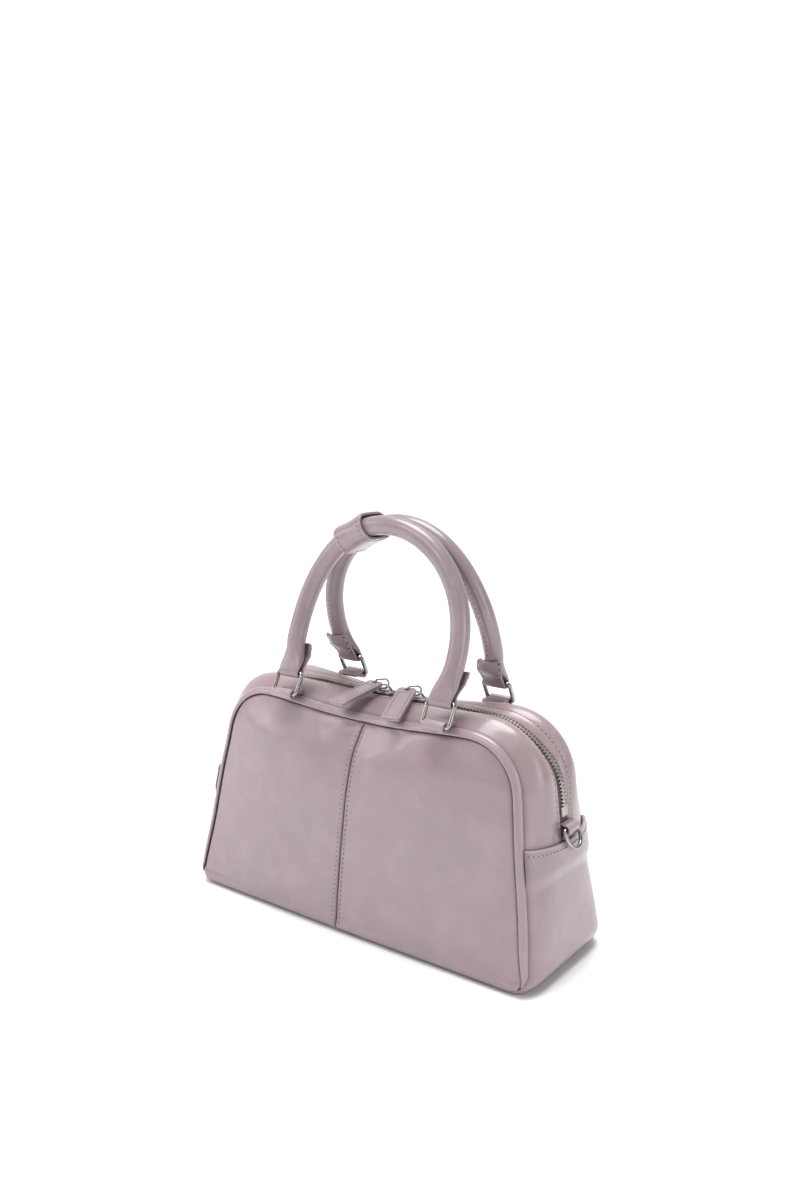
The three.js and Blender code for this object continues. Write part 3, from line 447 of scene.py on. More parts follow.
class Paint:
    """A material under way"""

    def __init__(self, name, slot, shader):
        self.slot = slot
        self.material = bpy.data.materials.new(name)
        self.material.use_nodes = True
        self.tree = self.material.node_tree
        self.shader = self.tree.nodes["Principled BSDF"]
        for socket, value in shader.items():
            self.shader.inputs[socket].default_value = value
        self.place = self.node("ShaderNodeTexCoord", {}, {}, "Object")

    def node(self, kind, settings, inputs, output=0):
        made = self.tree.nodes.new(kind)
        for name, value in settings.items():
            if name == "stops":
                ramp = made.color_ramp
                while len(ramp.elements) < len(value):
                    ramp.elements.new(0.5)
                for element, (position, colour) in zip(ramp.elements, value):
                    element.position = position
                    element.color = (*colour, 1)
            else:
                setattr(made, name, value)
        for name, value in inputs.items():
            self.feed(made.inputs[name], value)
        return Value(self, made.outputs[output])

    def feed(self, socket, value):
        if isinstance(value, Value):
            self.tree.links.new(value.socket, socket)
        else:
            socket.default_value = value

    def cloud(self, size, detail=4, roughness=0.55, distortion=0.0, seed=0.0):
        """Noise whose patches are about this many millimetres across"""
        where = self.place
        if seed:
            where = self.node("ShaderNodeVectorMath", {"operation": "ADD"}, {0: where, 1: (seed, seed, seed)})
        settings = {"Vector": where, "Scale": 1000 / size, "Detail": detail, "Roughness": roughness}
        return self.node("ShaderNodeTexNoise", {}, {**settings, "Distortion": distortion})

    def cells(self, size, feature="F1"):
        return self.node(
            "ShaderNodeTexVoronoi",
            {"feature": feature},
            {"Vector": self.place, "Scale": 1000 / size},
        )

    def between(self, value, low, high, to_low=0.0, to_high=1.0):
        inputs = {"Value": value, 1: low, 2: high, 3: to_low, 4: to_high}
        return self.node("ShaderNodeMapRange", {"interpolation_type": "SMOOTHSTEP"}, inputs)

    def mix(self, share, first, second):
        first, second = ((*c, 1) if isinstance(c, tuple) else c for c in (first, second))
        return self.node("ShaderNodeMix", {"data_type": "RGBA"}, {0: share, 6: first, 7: second}, 2)

    def mark(self, name):
        return self.node("ShaderNodeAttribute", {"attribute_name": name}, {}, "Fac")

    def finish(self, colour, roughness=None, relief=()):
        """Joins up the shader. Relief is a list of heights with their depths in millimetres."""
        self.feed(self.shader.inputs["Base Color"], colour)
        if roughness is not None:
            self.feed(self.shader.inputs["Roughness"], roughness)
        if relief:
            height = sum(value * (depth * MM) for value, depth in relief)
            normal = self.node("ShaderNodeBump", {}, {"Strength": 1.0, "Distance": 1.0, "Height": height})
            self.feed(self.shader.inputs["Normal"], normal)
        return self


def leather(name, slot, pink, grey, light, gloss=0.36, pebble=0.035):
    """Glossy leather with cloudy colour, fine creases and pores, with painted shade along its seams and edges
    and paler turned edges that are partly wear and partly painted highlight
    """
    paint = Paint(name, slot, {"Coat Weight": 0.45, "Coat Roughness": 0.16})
    clouds = paint.cloud(58, 5, 0.62, 0.6)
    patches = paint.cloud(17, 5, 0.6, 0.3, seed=1.7)
    flecks = paint.cloud(3.2, 4, 0.65, seed=3.1)
    pores = paint.cells(0.95)
    creases = paint.cells(2.4, "DISTANCE_TO_EDGE")
    scuffs = paint.cloud(26, 6, 0.72, 1.6, seed=5.3)
    tint = paint.mix(paint.between(clouds, 0.36, 0.64), grey, pink)
    tint = paint.mix(paint.between(patches, 0.42, 0.72) * 0.55, tint, light)
    tint = paint.mix(paint.between(flecks, 0.5, 0.75) * 0.16, tint, light)
    tint = paint.mix(paint.between(pores, 0.0, 0.32, 0.22, 0.0), tint, grey)
    # painted shade: darker along seams and turned edges, where the panels carry the seam mark
    shade = tuple(c * 0.34 for c in grey)
    tint = paint.mix(paint.mark("crease") * 0.9, tint, shade)
    # paler along turned edges, partly as wear and partly as painted highlight
    worn = tuple(min(1, c * 1.25) for c in light)
    tint = paint.mix(paint.mark("worn") * 0.7, tint, worn)
    dull = paint.between(scuffs, 0.35, 0.7)
    rough = gloss - 0.05 + dull * 0.12 + flecks * 0.05 + paint.mark("crease") * 0.2
    fine = paint.between(creases, 0.0, 0.09)
    relief = [
        (paint.between(pores, 0.0, 0.45), pebble),
        (fine, pebble * 0.22),
        (flecks, pebble),
        (patches, 0.2),
    ]
    return paint.finish(tint, rough, relief)


def thread(name, slot, colour):
    """Twisted thread"""
    paint = Paint(name, slot, {})
    twist = paint.node(
        "ShaderNodeTexWave",
        {"bands_direction": "DIAGONAL"},
        {"Vector": paint.place, "Scale": 900.0, "Distortion": 1.5},
    )
    fibre = paint.cloud(0.5, 3, 0.7)
    dark = tuple(c * 0.75 for c in colour)
    tint = paint.mix(twist * 0.6 + fibre * 0.3, dark, colour)
    return paint.finish(tint, 0.55 + fibre * 0.2, [(twist, 0.012)])


def hole(name, slot, colour):
    """Painted shade: the dark inside of the hole a stitch goes through, on a small bead"""
    paint = Paint(name, slot, {})
    speck = paint.cloud(0.6, 3, 0.7)
    darker = tuple(c * 0.5 for c in colour)
    return paint.finish(paint.mix(speck, darker, colour), 0.6 + speck * 0.25, [(speck, 0.05)])


def woven(name, slot, colour):
    """Tightly woven zip tape, with its ribs across the zip"""
    paint = Paint(name, slot, {"Sheen Weight": 0.15})
    across = paint.node("ShaderNodeTexCoord", {}, {}, "UV")
    turned = paint.node("ShaderNodeMapping", {}, {"Vector": across, "Scale": (24.0, 700.0, 1.0)})
    weave = paint.node("ShaderNodeTexChecker", {}, {"Vector": turned, "Scale": 1.0}, 1)
    fuzz = paint.cloud(0.7, 4, 0.7)
    dark = tuple(c * 0.62 for c in colour)
    tint = paint.mix(weave * 0.55 + fuzz * 0.35, dark, colour)
    return paint.finish(tint, 0.85 + fuzz * 0.1, [(weave, 0.08), (fuzz, 0.06)])


def nickel(name, slot, colour, rough=0.16):
    """Polished nickel plate with fine rubbing and slight clouding"""
    paint = Paint(name, slot, {"Metallic": 1.0})
    haze = paint.cloud(9, 5, 0.65)
    streaks = paint.node("ShaderNodeMapping", {}, {"Vector": paint.place, "Scale": (300.0, 2600.0, 900.0)})
    grain = {"Vector": streaks, "Scale": 1.0, "Detail": 4.0, "Roughness": 0.7}
    rub = paint.node("ShaderNodeTexNoise", {}, grain)
    dark = tuple(c * 0.7 for c in colour)
    tint = paint.mix(paint.between(haze, 0.35, 0.7), dark, colour)
    return paint.finish(tint, rough + haze * 0.12 + rub * 0.08, [(rub, 0.012), (haze, 0.03)])


PINK = (0.325, 0.229, 0.25)
GREY = (0.295, 0.23, 0.236)
LIGHT = (0.365, 0.279, 0.294)
PALE_ROLLED = (0.33, 0.262, 0.276)
LEATHERS = {
    name: leather(f"{name} leather", *values)
    for name, *values in [
        ("body", "leather", PINK, GREY, LIGHT),
        ("piping", "leather", (0.345, 0.25, 0.273), (0.315, 0.247, 0.258), LIGHT, 0.34),
        ("handle", "leather", (0.292, 0.212, 0.234), (0.268, 0.212, 0.222), PALE_ROLLED, 0.34, 0.025),
        ("trim", "trim_leather", (0.35, 0.257, 0.28), (0.32, 0.253, 0.265), LIGHT, 0.4),
    ]
}
THREAD = thread("thread", "leather", (0.5, 0.41, 0.435))
HOLE_SHADE = hole("stitch hole shade", "leather", (0.1, 0.066, 0.07))
TAPE = woven("woven zip tape", "zip_tape", (0.2, 0.15, 0.16))
NICKEL = nickel("polished nickel", "metal", (0.46, 0.428, 0.41))
TEETH = nickel("zip teeth nickel", "metal", (0.52, 0.475, 0.445), 0.3)


# Making pieces
BAG_CENTRE = Vector((0, 0, 75)) * MM


def laid(rows, round_columns=False, round_rows=False, capped=False, marks=None, inside=BAG_CENTRE):
    """A grid laid over rows of points, and joined to itself where it goes round.
    One that stays open is made to face away from the inside."""
    wide = len(rows[0]) - (0 if round_columns else 1)
    high = len(rows) - (0 if round_rows else 1)
    mesh = bmesh.new()
    mesh.loops.layers.uv.new("UVMap")
    bmesh.ops.create_grid(mesh, x_segments=wide, y_segments=high, size=0.5, calc_uvs=True)
    layers = {name: mesh.verts.layers.float.new(name) for name in marks or {}}
    for vert in mesh.verts:
        column = round((vert.co.x + 0.5) * wide) % len(rows[0])
        row = round((vert.co.y + 0.5) * high) % len(rows)
        vert.co = rows[row][column] * MM
        for name, layer in layers.items():
            vert[layer] = marks[name](row, column)
    if round_columns or round_rows:
        bmesh.ops.remove_doubles(mesh, verts=mesh.verts, dist=1e-7)
    if capped:
        bmesh.ops.holes_fill(mesh, edges=[e for e in mesh.edges if e.is_boundary], sides=0)
    if capped or (round_columns and round_rows):
        bmesh.ops.recalc_face_normals(mesh, faces=mesh.faces)
    else:
        mesh.normal_update()
        facing = sum(f.normal.dot(f.calc_center_median() - inside) for f in mesh.faces)
        if facing < 0:
            bmesh.ops.reverse_faces(mesh, faces=mesh.faces)
    return mesh


def linked(name, data):
    """An object of the data, in the scene"""
    made = bpy.data.objects.new(name, data)
    bpy.context.scene.collection.objects.link(made)
    return made


def piece(name, mesh, paint, *nodes, body="bag", wall=0, edge=0, flat=False):
    """Makes an object of a mesh, that rides on a body and stands for CAD nodes"""
    data = bpy.data.meshes.new(name)
    mesh.normal_update()
    mesh.to_mesh(data)
    mesh.free()
    data.materials.append(paint.material)
    if not flat:
        data.shade_smooth()
    made = linked(name, data)
    if wall:
        solid = made.modifiers.new("wall", "SOLIDIFY")
        solid.thickness = wall * MM
        solid.offset = -1
    if edge:
        round_off = made.modifiers.new("turned edge", "BEVEL")
        round_off.width = edge * MM
        round_off.segments = 3
        round_off.limit_method = "ANGLE"
        round_off.angle_limit = math.radians(50)
    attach(made, body)
    if nodes:
        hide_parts(*nodes)
    return made


def turned(mesh, x=1, y=1):
    """The mesh mirrored to another end or side"""
    if x < 0 or y < 0:
        bmesh.ops.scale(mesh, vec=(x, y, 1), verts=mesh.verts)
        if x * y < 0:
            bmesh.ops.reverse_faces(mesh, faces=mesh.faces)
    return mesh


def ring_section(centre, tangent, out, half_width, half_thickness, square=1, welt=0):
    """One section: an ellipse, squarer as its power falls, with a turned seam"""
    across = out.cross(tangent).normalized()
    face = tangent.cross(across).normalized()
    points = []
    for k in range(HANDLE_SIDES):
        angle = (k + 0.5) / HANDLE_SIDES * 2 * math.pi
        wide, thick = math.cos(angle), math.sin(angle)
        wide = math.copysign(abs(wide) ** square, wide) * half_width
        thick = math.copysign(abs(thick) ** square, thick) * half_thickness
        if welt:
            along = (angle - 1.5 * math.pi) * half_width
            raised = smooth(along, -2.6, -2.1) * (1 - smooth(along, 1.5, 1.8)) - 1.1 * bump(along - 1.9, 0.35)
            grow = 1 + welt * 0.06 * raised
            wide, thick = wide * grow, thick * grow
        points.append(centre + across * wide + face * thick)
    return points


def filled_in(rings, spacing):
    """Sections with more smoothly put between them, no further apart than the spacing"""
    centres = [sum(ring, Vector()) / len(ring) for ring in rings]
    keys = [0]
    for a, b in zip(centres, centres[1:]):
        keys.append(keys[-1] + max(0.2, (b - a).length))
    tables = [
        [(key, *ring[side]) for key, ring in zip(keys, rings)]
        for side in range(len(rings[0]))
    ]
    full = []
    for k in range(len(rings) - 1):
        steps = max(1, math.ceil((keys[k + 1] - keys[k]) / spacing))
        for step in range(steps):
            at = lerp(keys[k], keys[k + 1], step / steps)
            full.append([Vector(from_table(table, at)) for table in tables])
    full.append(rings[-1])
    return full


def wire(path, radius, sides=14, flatten=1.0):
    """Sections of a wire along a closed path"""
    count = len(path)
    middle = sum(path, Vector()) / count
    axis = Vector()
    for a, b in zip(path, path[1:] + path[:1]):
        axis += (a - middle).cross(b - middle)
    axis.normalize()
    rings = []
    for i, point in enumerate(path):
        tangent = (path[(i + 1) % count] - path[i - 1]).normalized()
        out = tangent.cross(axis).normalized()
        ring = []
        for k in range(sides):
            angle = k / sides * 2 * math.pi
            outwards = out * (radius * math.cos(angle))
            ring.append(point + outwards + axis * (radius * flatten * math.sin(angle)))
        rings.append(ring)
    return rings


def rounded_loop(centre, along, up, half_length, half_height, radius, steps):
    points = []
    for sx, sy, start in [(1, 1, 0), (-1, 1, 1), (-1, -1, 2), (1, -1, 3)]:
        for k in range(steps + 1):
            angle = (start + k / steps) * math.pi / 2
            a = sx * (half_length - radius) + radius * math.cos(angle)
            b = sy * (half_height - radius) + radius * math.sin(angle)
            points.append(centre + along * a + up * b)
    return points


def ribbon(path, across, half_width, thickness, rounding=0.35):
    """A strap along an open path, as sections that run round its rounded rectangle"""
    rings = []
    for i, point in enumerate(path):
        tangent = (path[min(i + 1, len(path) - 1)] - path[max(i - 1, 0)]).normalized()
        out = tangent.cross(across).normalized()
        loop = rounded_loop(point, across, out, half_width, thickness / 2, rounding * thickness, 3)
        rings.append(loop)
    return rings


def pressed(places, bead_rows=0):
    """One small shape at many places: a bead with this many rows of faces, or else a block"""
    mesh = bmesh.new()
    if bead_rows:
        bmesh.ops.create_uvsphere(mesh, u_segments=8, v_segments=bead_rows, radius=1)
    else:
        bmesh.ops.create_cube(mesh, size=1)
    data = bpy.data.meshes.new("one")
    mesh.to_mesh(data)
    mesh.clear()
    for place in places:
        data.transform(place)
        mesh.from_mesh(data)
        data.transform(place.inverted())
    bpy.data.meshes.remove(data)
    return mesh


def set_at(point, along, side, out):
    """The place of a small shape, from its middle and its three half sizes"""
    return Matrix.Translation(point * MM) @ (Matrix((along, side, out)).transposed() * MM).to_4x4()


def soften(mesh, edges, width, segments=3):
    """Rounds edges off by this many millimetres"""
    options = {"profile": 0.5, "affect": "EDGES", "material": -1}
    bmesh.ops.bevel(mesh, geom=edges, offset=width * MM, segments=segments, **options)


# Stitches
stitch_places = []
hole_shade_places = []


def stitch_row(line, pitch, width, lift=0.05, hole_size=0.42, stitch_share=0.74):
    """Thread stitches, with a dark bead of painted shade for the hole between each two, along a line of
    points and outward directions
    """
    lengths = running_length([point for point, _ in line])
    count = max(1, round(lengths[-1] / pitch))
    step = lengths[-1] / count
    half = step * stitch_share / 2
    for start, total in [(0, count + 1), (0.5, count)]:
        for k, t in walked(lengths, [(n + start) * step for n in range(total)]):
            point = line[k][0].lerp(line[k + 1][0], t)
            out = line[k][1].lerp(line[k + 1][1], t).normalized()
            along = (line[k + 1][0] - line[k][0]).normalized()
            side = out.cross(along).normalized()
            if start:
                sizes = (along * half, side * (width / 2), out * (width * 0.42))
                stitch_places.append(set_at(point + out * lift, *sizes))
            else:
                hole_shade_places.append(set_at(point, along * hole_size, side * hole_size, out * 0.3))


def on_skin(place, u, v, outward):
    """A point of a surface with its direction outwards"""
    nudge = 0.002
    point = place(u, v)
    side = place(u + nudge, v) - place(u - nudge, v)
    up = place(u, v + nudge) - place(u, v - nudge)
    normal = side.cross(up).normalized()
    return point, normal if normal.dot(outward) > 0 else -normal


# Face panels
FRONT_ROWS = 150
FRONT_COLUMNS = 105


def graded(count, ends):
    """Shares from 0 to 1, closer together towards both ends the more ends is"""
    return [lerp(k / count, 0.5 - 0.5 * math.cos(math.pi * k / count), ends) for k in range(count + 1)]


# Painted shade along a face panel's edges and down its centre seam
def seam_shade_at(u, v, seam=True):
    edge = max(0, edge_distance(u, v))
    dark = 0.75 * math.exp(-edge / 0.65)
    if seam:
        aside = abs(2 * BASE_HALF_LENGTH * (u - seam_share(v)))
        dark += 0.6 * math.exp(-aside / 0.45)
    return min(1, dark)


for end, side in [("left", -1), ("right", 1)]:
    heights = graded(FRONT_ROWS, 0.6)
    beside_seam = [k * 0.4 / BASE_HALF_LENGTH for k in range(18)]
    shares = beside_seam + [lerp(beside_seam[-1], 1, share) for share in graded(FRONT_COLUMNS, 0.75)[1:]]
    half_gap = GAP / (4 * BASE_HALF_LENGTH)
    places = []
    for v in heights:
        seam = seam_share(v) + side * half_gap
        places.append([(seam * t if side < 0 else lerp(seam, 1, t), v) for t in shares])
    mesh = laid(
        [[front_leather(u, v) for u, v in row] for row in places],
        marks={"crease": lambda row, column: seam_shade_at(*places[row][column])},
    )
    piece(f"front_leather_{end}", mesh, LEATHERS["body"], f"front_panel_{end}", wall=PANEL_WALL)

places = [[(u, v) for u in graded(150, 0.7)] for v in graded(110, 0.6)]
mesh = laid(
    [[back_leather(u, v) for u, v in row] for row in places],
    marks={"crease": lambda row, column: seam_shade_at(*places[row][column], seam=False)},
)
piece("back_leather", turned(mesh, y=-1), LEATHERS["body"], "back_panel", wall=PANEL_WALL)

FRONTWARDS = Vector((0, -1, 0))
for offset in (-CENTRE_ROW_OFFSET, CENTRE_ROW_OFFSET):
    line = []
    for k in range(101):
        v = lerp(0.035, 0.972, k / 100)
        line.append(on_skin(front_leather, seam_share(v) + offset / (2 * BASE_HALF_LENGTH), v, FRONTWARDS))
    stitch_row(line, pitch=3.3, width=0.7, lift=0.1, hole_size=0.48, stitch_share=0.66)

# Piping
PIPING_SIDES = 20


def piping_rings():
    rings = []
    for zone in zone_run(PIPING_START_ZONE, 10 - PIPING_START_ZONE, 360, 14):
        x, z, nx, nz, depth = seam_at(zone)[:5]
        share = piping_share(zone)
        centre = Vector((x, share * PIPING_SET_BACK - depth, z))
        out = Vector((nx, -1, nz)).normalized()
        across = Vector((nx, 1, nz)).normalized()
        swell = 1 + 0.03 * ripple(centre, 7) + 0.02 * ripple(centre, 3, 5)
        ring = []
        for k in range(PIPING_SIDES):
            angle = k / PIPING_SIDES * 2 * math.pi
            wide = share * swell * PIPING_HALF_WIDTH * math.cos(angle)
            thick = share * swell * PIPING_HALF_THICKNESS * math.sin(angle)
            ring.append(centre + across * wide + out * thick)
        rings.append(ring)
    return rings


def piping_seam_shade(row, column):
    """Painted shade where the cord meets the leather beside it"""
    return 0.5 * smooth(-math.sin(column / PIPING_SIDES * 2 * math.pi), -0.35, 0.3)


rings = piping_rings()
for side, y in [("front", 1), ("back", -1)]:
    mesh = laid(rings, round_columns=True, capped=True, marks={"crease": piping_seam_shade})
    piece(f"{side}_cord", turned(mesh, y=y), LEATHERS["piping"], f"{side}_piping")

# Lower band
END_RISE = seam_at(3)[1] - seam_at(2)[1]
LAP_START = END_TOP_ZONE - 2 * LAP_HEIGHT / END_RISE


def lower_place(zone, share):
    """A point of the lower band at a zone and a share of its half depth"""
    dip = END_TOP_DIP * (1 - share * share) / END_RISE
    place = zone - math.copysign(smooth(abs(zone), 2, END_TOP_ZONE) * dip, zone)
    limit = seam_at(place)[4] - band_inset(place) + 0.9 * smooth(abs(place), 1.7, 1.9)
    lift = LAP_RAISE * smooth(abs(place), LAP_START - 0.1, LAP_START)
    point = band_point(place, share * limit, lift)
    edge = (1 - abs(share)) * limit
    soft = smooth(abs(zone), 1, 2) * smooth(edge, 0, 12) * smooth(END_TOP_ZONE - abs(zone), 0, 0.12)
    nx, nz = seam_at(place)[2:4]
    out = Vector((nx, 0, nz))
    turned_under = 1.3 * math.exp(-edge / 0.7) * smooth(abs(zone), 1, 2)
    point += out * (soft * 0.45 * ripple(point, 38, 2) - turned_under)
    if abs(zone) <= 1:
        point.z = max(0, point.z * smooth(abs(share), 0.87, 1))
    return point


LOWER_ZONES = zone_run(END_TOP_ZONE, 0, 150, 16)
LOWER_ZONES += [-zone for zone in reversed(LOWER_ZONES[:-1])]
LOWER_SHARES = [2 * share - 1 for share in graded(64, 0.8)]


# Painted shade along the lower band's edges at the piping
def lower_seam_shade(row, column):
    depth = seam_at(LOWER_ZONES[row])[4]
    return min(1, 0.7 * math.exp(-(1 - abs(LOWER_SHARES[column])) * depth / 1.3))


def lower_wear_and_highlight(row, column):
    """The turned top edges and the corners of the base are paler, partly as wear and partly as painted
    highlight
    """
    zone = abs(LOWER_ZONES[row])
    rim = smooth(zone, END_TOP_ZONE - 1.2 / END_RISE, END_TOP_ZONE)
    corner = 0.35 * bump(zone - 1.5, 0.3) * smooth(abs(LOWER_SHARES[column]), 0.6, 0.98)
    return min(1, rim + corner)


mesh = laid(
    [[lower_place(zone, share) for share in LOWER_SHARES] for zone in LOWER_ZONES],
    marks={"crease": lower_seam_shade, "worn": lower_wear_and_highlight},
)
piece("lower_leather", mesh, LEATHERS["body"], "lower_band", wall=2, edge=0.6)

for sign in (1, -1):
    line = []
    for k in range(61):
        share = lerp(-0.965, 0.965, k / 60)
        zone = sign * (END_TOP_ZONE - END_ROW_DROP / END_RISE)
        point = lower_place(zone, share)
        along = lower_place(zone, share + 0.01) - lower_place(zone, share - 0.01)
        up = lower_place(zone + 0.01, share) - lower_place(zone - 0.01, share)
        out = along.cross(up).normalized()
        line.append((point, out if out.x * sign > 0 else -out))
    stitch_row(line, pitch=3.4, width=0.75, lift=0.12, hole_size=0.45)

# Upper bands
UPPER_START_ZONE = END_TOP_ZONE - 1.2 * LAP_HEIGHT / END_RISE
UPPER_ZONES = zone_run(UPPER_START_ZONE, 10 - UPPER_START_ZONE, 300, 10)
UPPER_SHARES = graded(40, 0.75)


def upper_place(zone, share):
    """A point of the front upper band, share 0 at the zip and 1 at the piping"""
    nx, nz, depth = seam_at(zone)[2:5]
    edge = depth - band_inset(zone) + 0.8
    y = lerp(ZIP_SLOT_HALF, edge, share)
    point = band_point(zone, -y)
    near_piping = edge - y
    near_zip = y - ZIP_SLOT_HALF
    held = smooth(near_piping, 0, 8) * smooth(near_zip, 0, 8)
    wave = held * (0.5 * ripple(point, 36, 3) + 0.1 * ripple(point, 11, 8))
    stitched = -0.22 * bump(near_zip - ZIP_ROW_OFFSET, 0.7) + 0.12 * bump(near_zip - 2.4, 1.4)
    rolled = -1.1 * math.exp(-near_piping / 0.7) - math.exp(-near_zip / 1.6)
    return point + Vector((nx, 0, nz)) * (wave + stitched + rolled)


# Painted shade along the upper band's edge at the piping
def upper_seam_shade(row, column):
    zone = UPPER_ZONES[row]
    edge = seam_at(zone)[4] - band_inset(zone) - ZIP_SLOT_HALF
    return min(1, 0.6 * math.exp(-(1 - UPPER_SHARES[column]) * edge / 1.2))


# Paler along the zip edge, partly as wear and partly as painted highlight
def upper_wear_and_highlight(row, column):
    edge = seam_at(UPPER_ZONES[row])[4] - ZIP_SLOT_HALF
    return 0.6 * math.exp(-UPPER_SHARES[column] * edge / 0.8)


rows = [[upper_place(zone, share) for share in UPPER_SHARES] for zone in UPPER_ZONES]
for side, y in [("front", 1), ("back", -1)]:
    mesh = laid(rows, marks={"crease": upper_seam_shade, "worn": upper_wear_and_highlight})
    mesh = turned(mesh, y=y)
    piece(f"upper_leather_{side}", mesh, LEATHERS["body"], f"upper_band_{side}", wall=PANEL_WALL, edge=0.5)
    line = []
    for zone in zone_run(END_TOP_ZONE + 0.05, 9.95 - END_TOP_ZONE, 240, 4):
        reach = seam_at(zone)[4] - band_inset(zone) + 0.8 - ZIP_SLOT_HALF
        point = upper_place(zone, ZIP_ROW_OFFSET / reach)
        point.y *= y
        nx, nz = seam_at(zone)[2:4]
        line.append((point, Vector((nx, 0, nz))))
    stitch_row(line, pitch=3.4, width=0.7, lift=0.1, hole_size=0.45, stitch_share=0.66)

# Zip tapes and teeth
TAPE_SECTION = [
    (GAP / 2, -0.5),
    (2, -0.5),
    (3.2, -0.75),
    (ZIP_SLOT_HALF, -1.6),
    (6, -1.75),
    (TAPE_HALF_WIDTH, -1.9),
]
rows = [[band_point(zone, -depth, low) for depth, low in TAPE_SECTION] for zone in UPPER_ZONES]
for side, y in [("front", 1), ("back", -1)]:
    piece(f"woven_tape_{side}", turned(laid(rows), y=y), TAPE, f"zip_tape_{side}", wall=TAPE_WALL)

CHAIN_END_ZONE = END_TOP_ZONE + 0.1


def teeth():
    """Two rows of interlocked teeth that follow the zip, with a stop at each end"""
    blocks = []
    run = zone_run(CHAIN_END_ZONE + 0.05, 9.95 - CHAIN_END_ZONE, 1600, 0)
    centre = [band_point(zone, 0, -LEATHER + CHAIN_HEIGHT / 2 + TOOTH_RAISE) for zone in run]
    count = round(running_length(centre)[-1] / TOOTH_PITCH * 2)
    places = spaced(centre, count)
    for k in range(1, count):
        along = (places[k + 1] - places[k - 1]).normalized()
        up = along.cross(Vector((0, 1, 0))).normalized()
        up = up if up.z > 0 or up.x * places[k].x > 0 else -up
        row = 1 if k % 2 else -1
        across = Vector((0, row, 0))
        for depth, wide, tall, shift in [(2.7, 1.1, 1.7, 1.65), (1.9, 1.5, 1.3, 0.1)]:
            blocks.append(set_at(places[k] + across * shift, along * wide, across * depth, up * tall))
    mesh = pressed(blocks)
    soften(mesh, mesh.edges[:], 0.2, 1)
    for sign in (1, -1):
        zone = sign * (CHAIN_END_ZONE + 0.03)
        middle = band_point(zone, 0, -LEATHER + CHAIN_HEIGHT / 2 + STOP_RAISE)
        along = (band_point(zone + 0.02, 0) - band_point(zone - 0.02, 0)).normalized()
        up = along.cross(Vector((0, 1, 0))).normalized()
        place = set_at(middle, along * 6.6, Vector((0, 7, 0)), up * 2)
        made = bmesh.ops.create_cube(mesh, size=1, matrix=place)
        edges = list({edge for vert in made["verts"] for edge in vert.link_edges})
        soften(mesh, edges, 0.6)
    bmesh.ops.recalc_face_normals(mesh, faces=mesh.faces)
    return mesh


piece("zip_teeth", teeth(), TEETH, "zip_chain", flat=True)


# Sliders, links and pulls
def top_z(x):
    return band_point(5 - abs(x) / SHOULDER[0], 0).z


def plate_z(x):
    ends = [top_z(x - SLIDER_LENGTH / 2), top_z(x + SLIDER_LENGTH / 2)]
    return max(ends) - LEATHER + CHAIN_HEIGHT + GAP


def slab(mesh, outline, rise, bevel):
    """A flat outline raised into a plate with softened edges"""
    verts = [mesh.verts.new(point * MM) for point in outline]
    face = mesh.faces.new(verts)
    made = bmesh.ops.extrude_face_region(mesh, geom=[face])["geom"]
    top = [part for part in made if isinstance(part, bmesh.types.BMVert)]
    bmesh.ops.translate(mesh, vec=rise * MM, verts=top)
    whole = verts + top
    edges = list({edge for vert in whole for edge in vert.link_edges})
    faces = list({face for vert in whole for face in vert.link_faces})
    bmesh.ops.recalc_face_normals(mesh, faces=faces)
    if bevel:
        soften(mesh, edges, bevel)


def add_rings(mesh, rings, closed):
    """Adds a closed tube or a capped one to a mesh"""
    part = laid(rings, round_columns=True, round_rows=closed, capped=not closed)
    data = bpy.data.meshes.new("part")
    part.to_mesh(data)
    part.free()
    mesh.from_mesh(data)
    bpy.data.meshes.remove(data)


def slider_mesh(x):
    """A channel over the teeth, its pinched ends and the long arched crown"""
    mesh = bmesh.new()
    low = plate_z(x)
    half = ZIP_SLOT_HALF - GAP
    plan = [(-8, 2.6), (-6.6, 3.6), (-2, half), (4, half), (8, 3.4)]
    outline = [Vector((x + a, -b, low)) for a, b in plan]
    outline += [Vector((x + a, b, low)) for a, b in reversed(plan)]
    slab(mesh, outline, Vector((0, 0, SLIDER_PLATE)), 0.5)
    for sign in (1, -1):
        flange = [(-6.4, 3.35), (-2, half - 0.1), (4, half - 0.1), (7.6, 3.3)]
        flange += [(a, CHAIN_HALF_WIDTH + 0.05) for a in (7.6, -6.4)]
        slab(mesh, [Vector((x + a, sign * b, low - 0.8)) for a, b in flange], Vector((0, 0, 1.2)), 0)
    crown_half = SLIDER_LENGTH / 2 - 2.2
    path = []
    for k in range(25):
        t = k / 24
        lift = CROWN_HEIGHT * 0.86 * (1 - abs(2 * t - 1) ** 2.6)
        path.append(Vector((x + lerp(-crown_half, crown_half, t), 0, low + SLIDER_PLATE - 0.3 + lift)))
    add_rings(mesh, ribbon(path, Vector((0, 1, 0)), CROWN_WIDTH / 2, 1.1, 0.42), False)
    return mesh


LINK_HALF_HEIGHT = PULL_THICKNESS / 2 + LINK_WIRE_RADIUS + 4 * GAP
LINK_HALF_LENGTH = 4.9
LINK_BEHIND_CROWN = CROWN_WIDTH / 2 + LINK_WIRE_RADIUS + 3 * GAP
PULL_EYELET_SET_BACK = 2.7
PULL_EYELET_RADIUS = LINK_WIRE_RADIUS + 2.5 * GAP
PULL_NOSE = 1.6


def forwards(turn):
    return Vector((math.sin(math.radians(turn)), -math.cos(math.radians(turn)), 0))


def link_centre(x, turn):
    low = plate_z(x) + SLIDER_PLATE + GAP + LINK_WIRE_RADIUS
    return Vector((x, 0, low + LINK_HALF_HEIGHT)) + forwards(turn) * (LINK_HALF_LENGTH - LINK_BEHIND_CROWN)


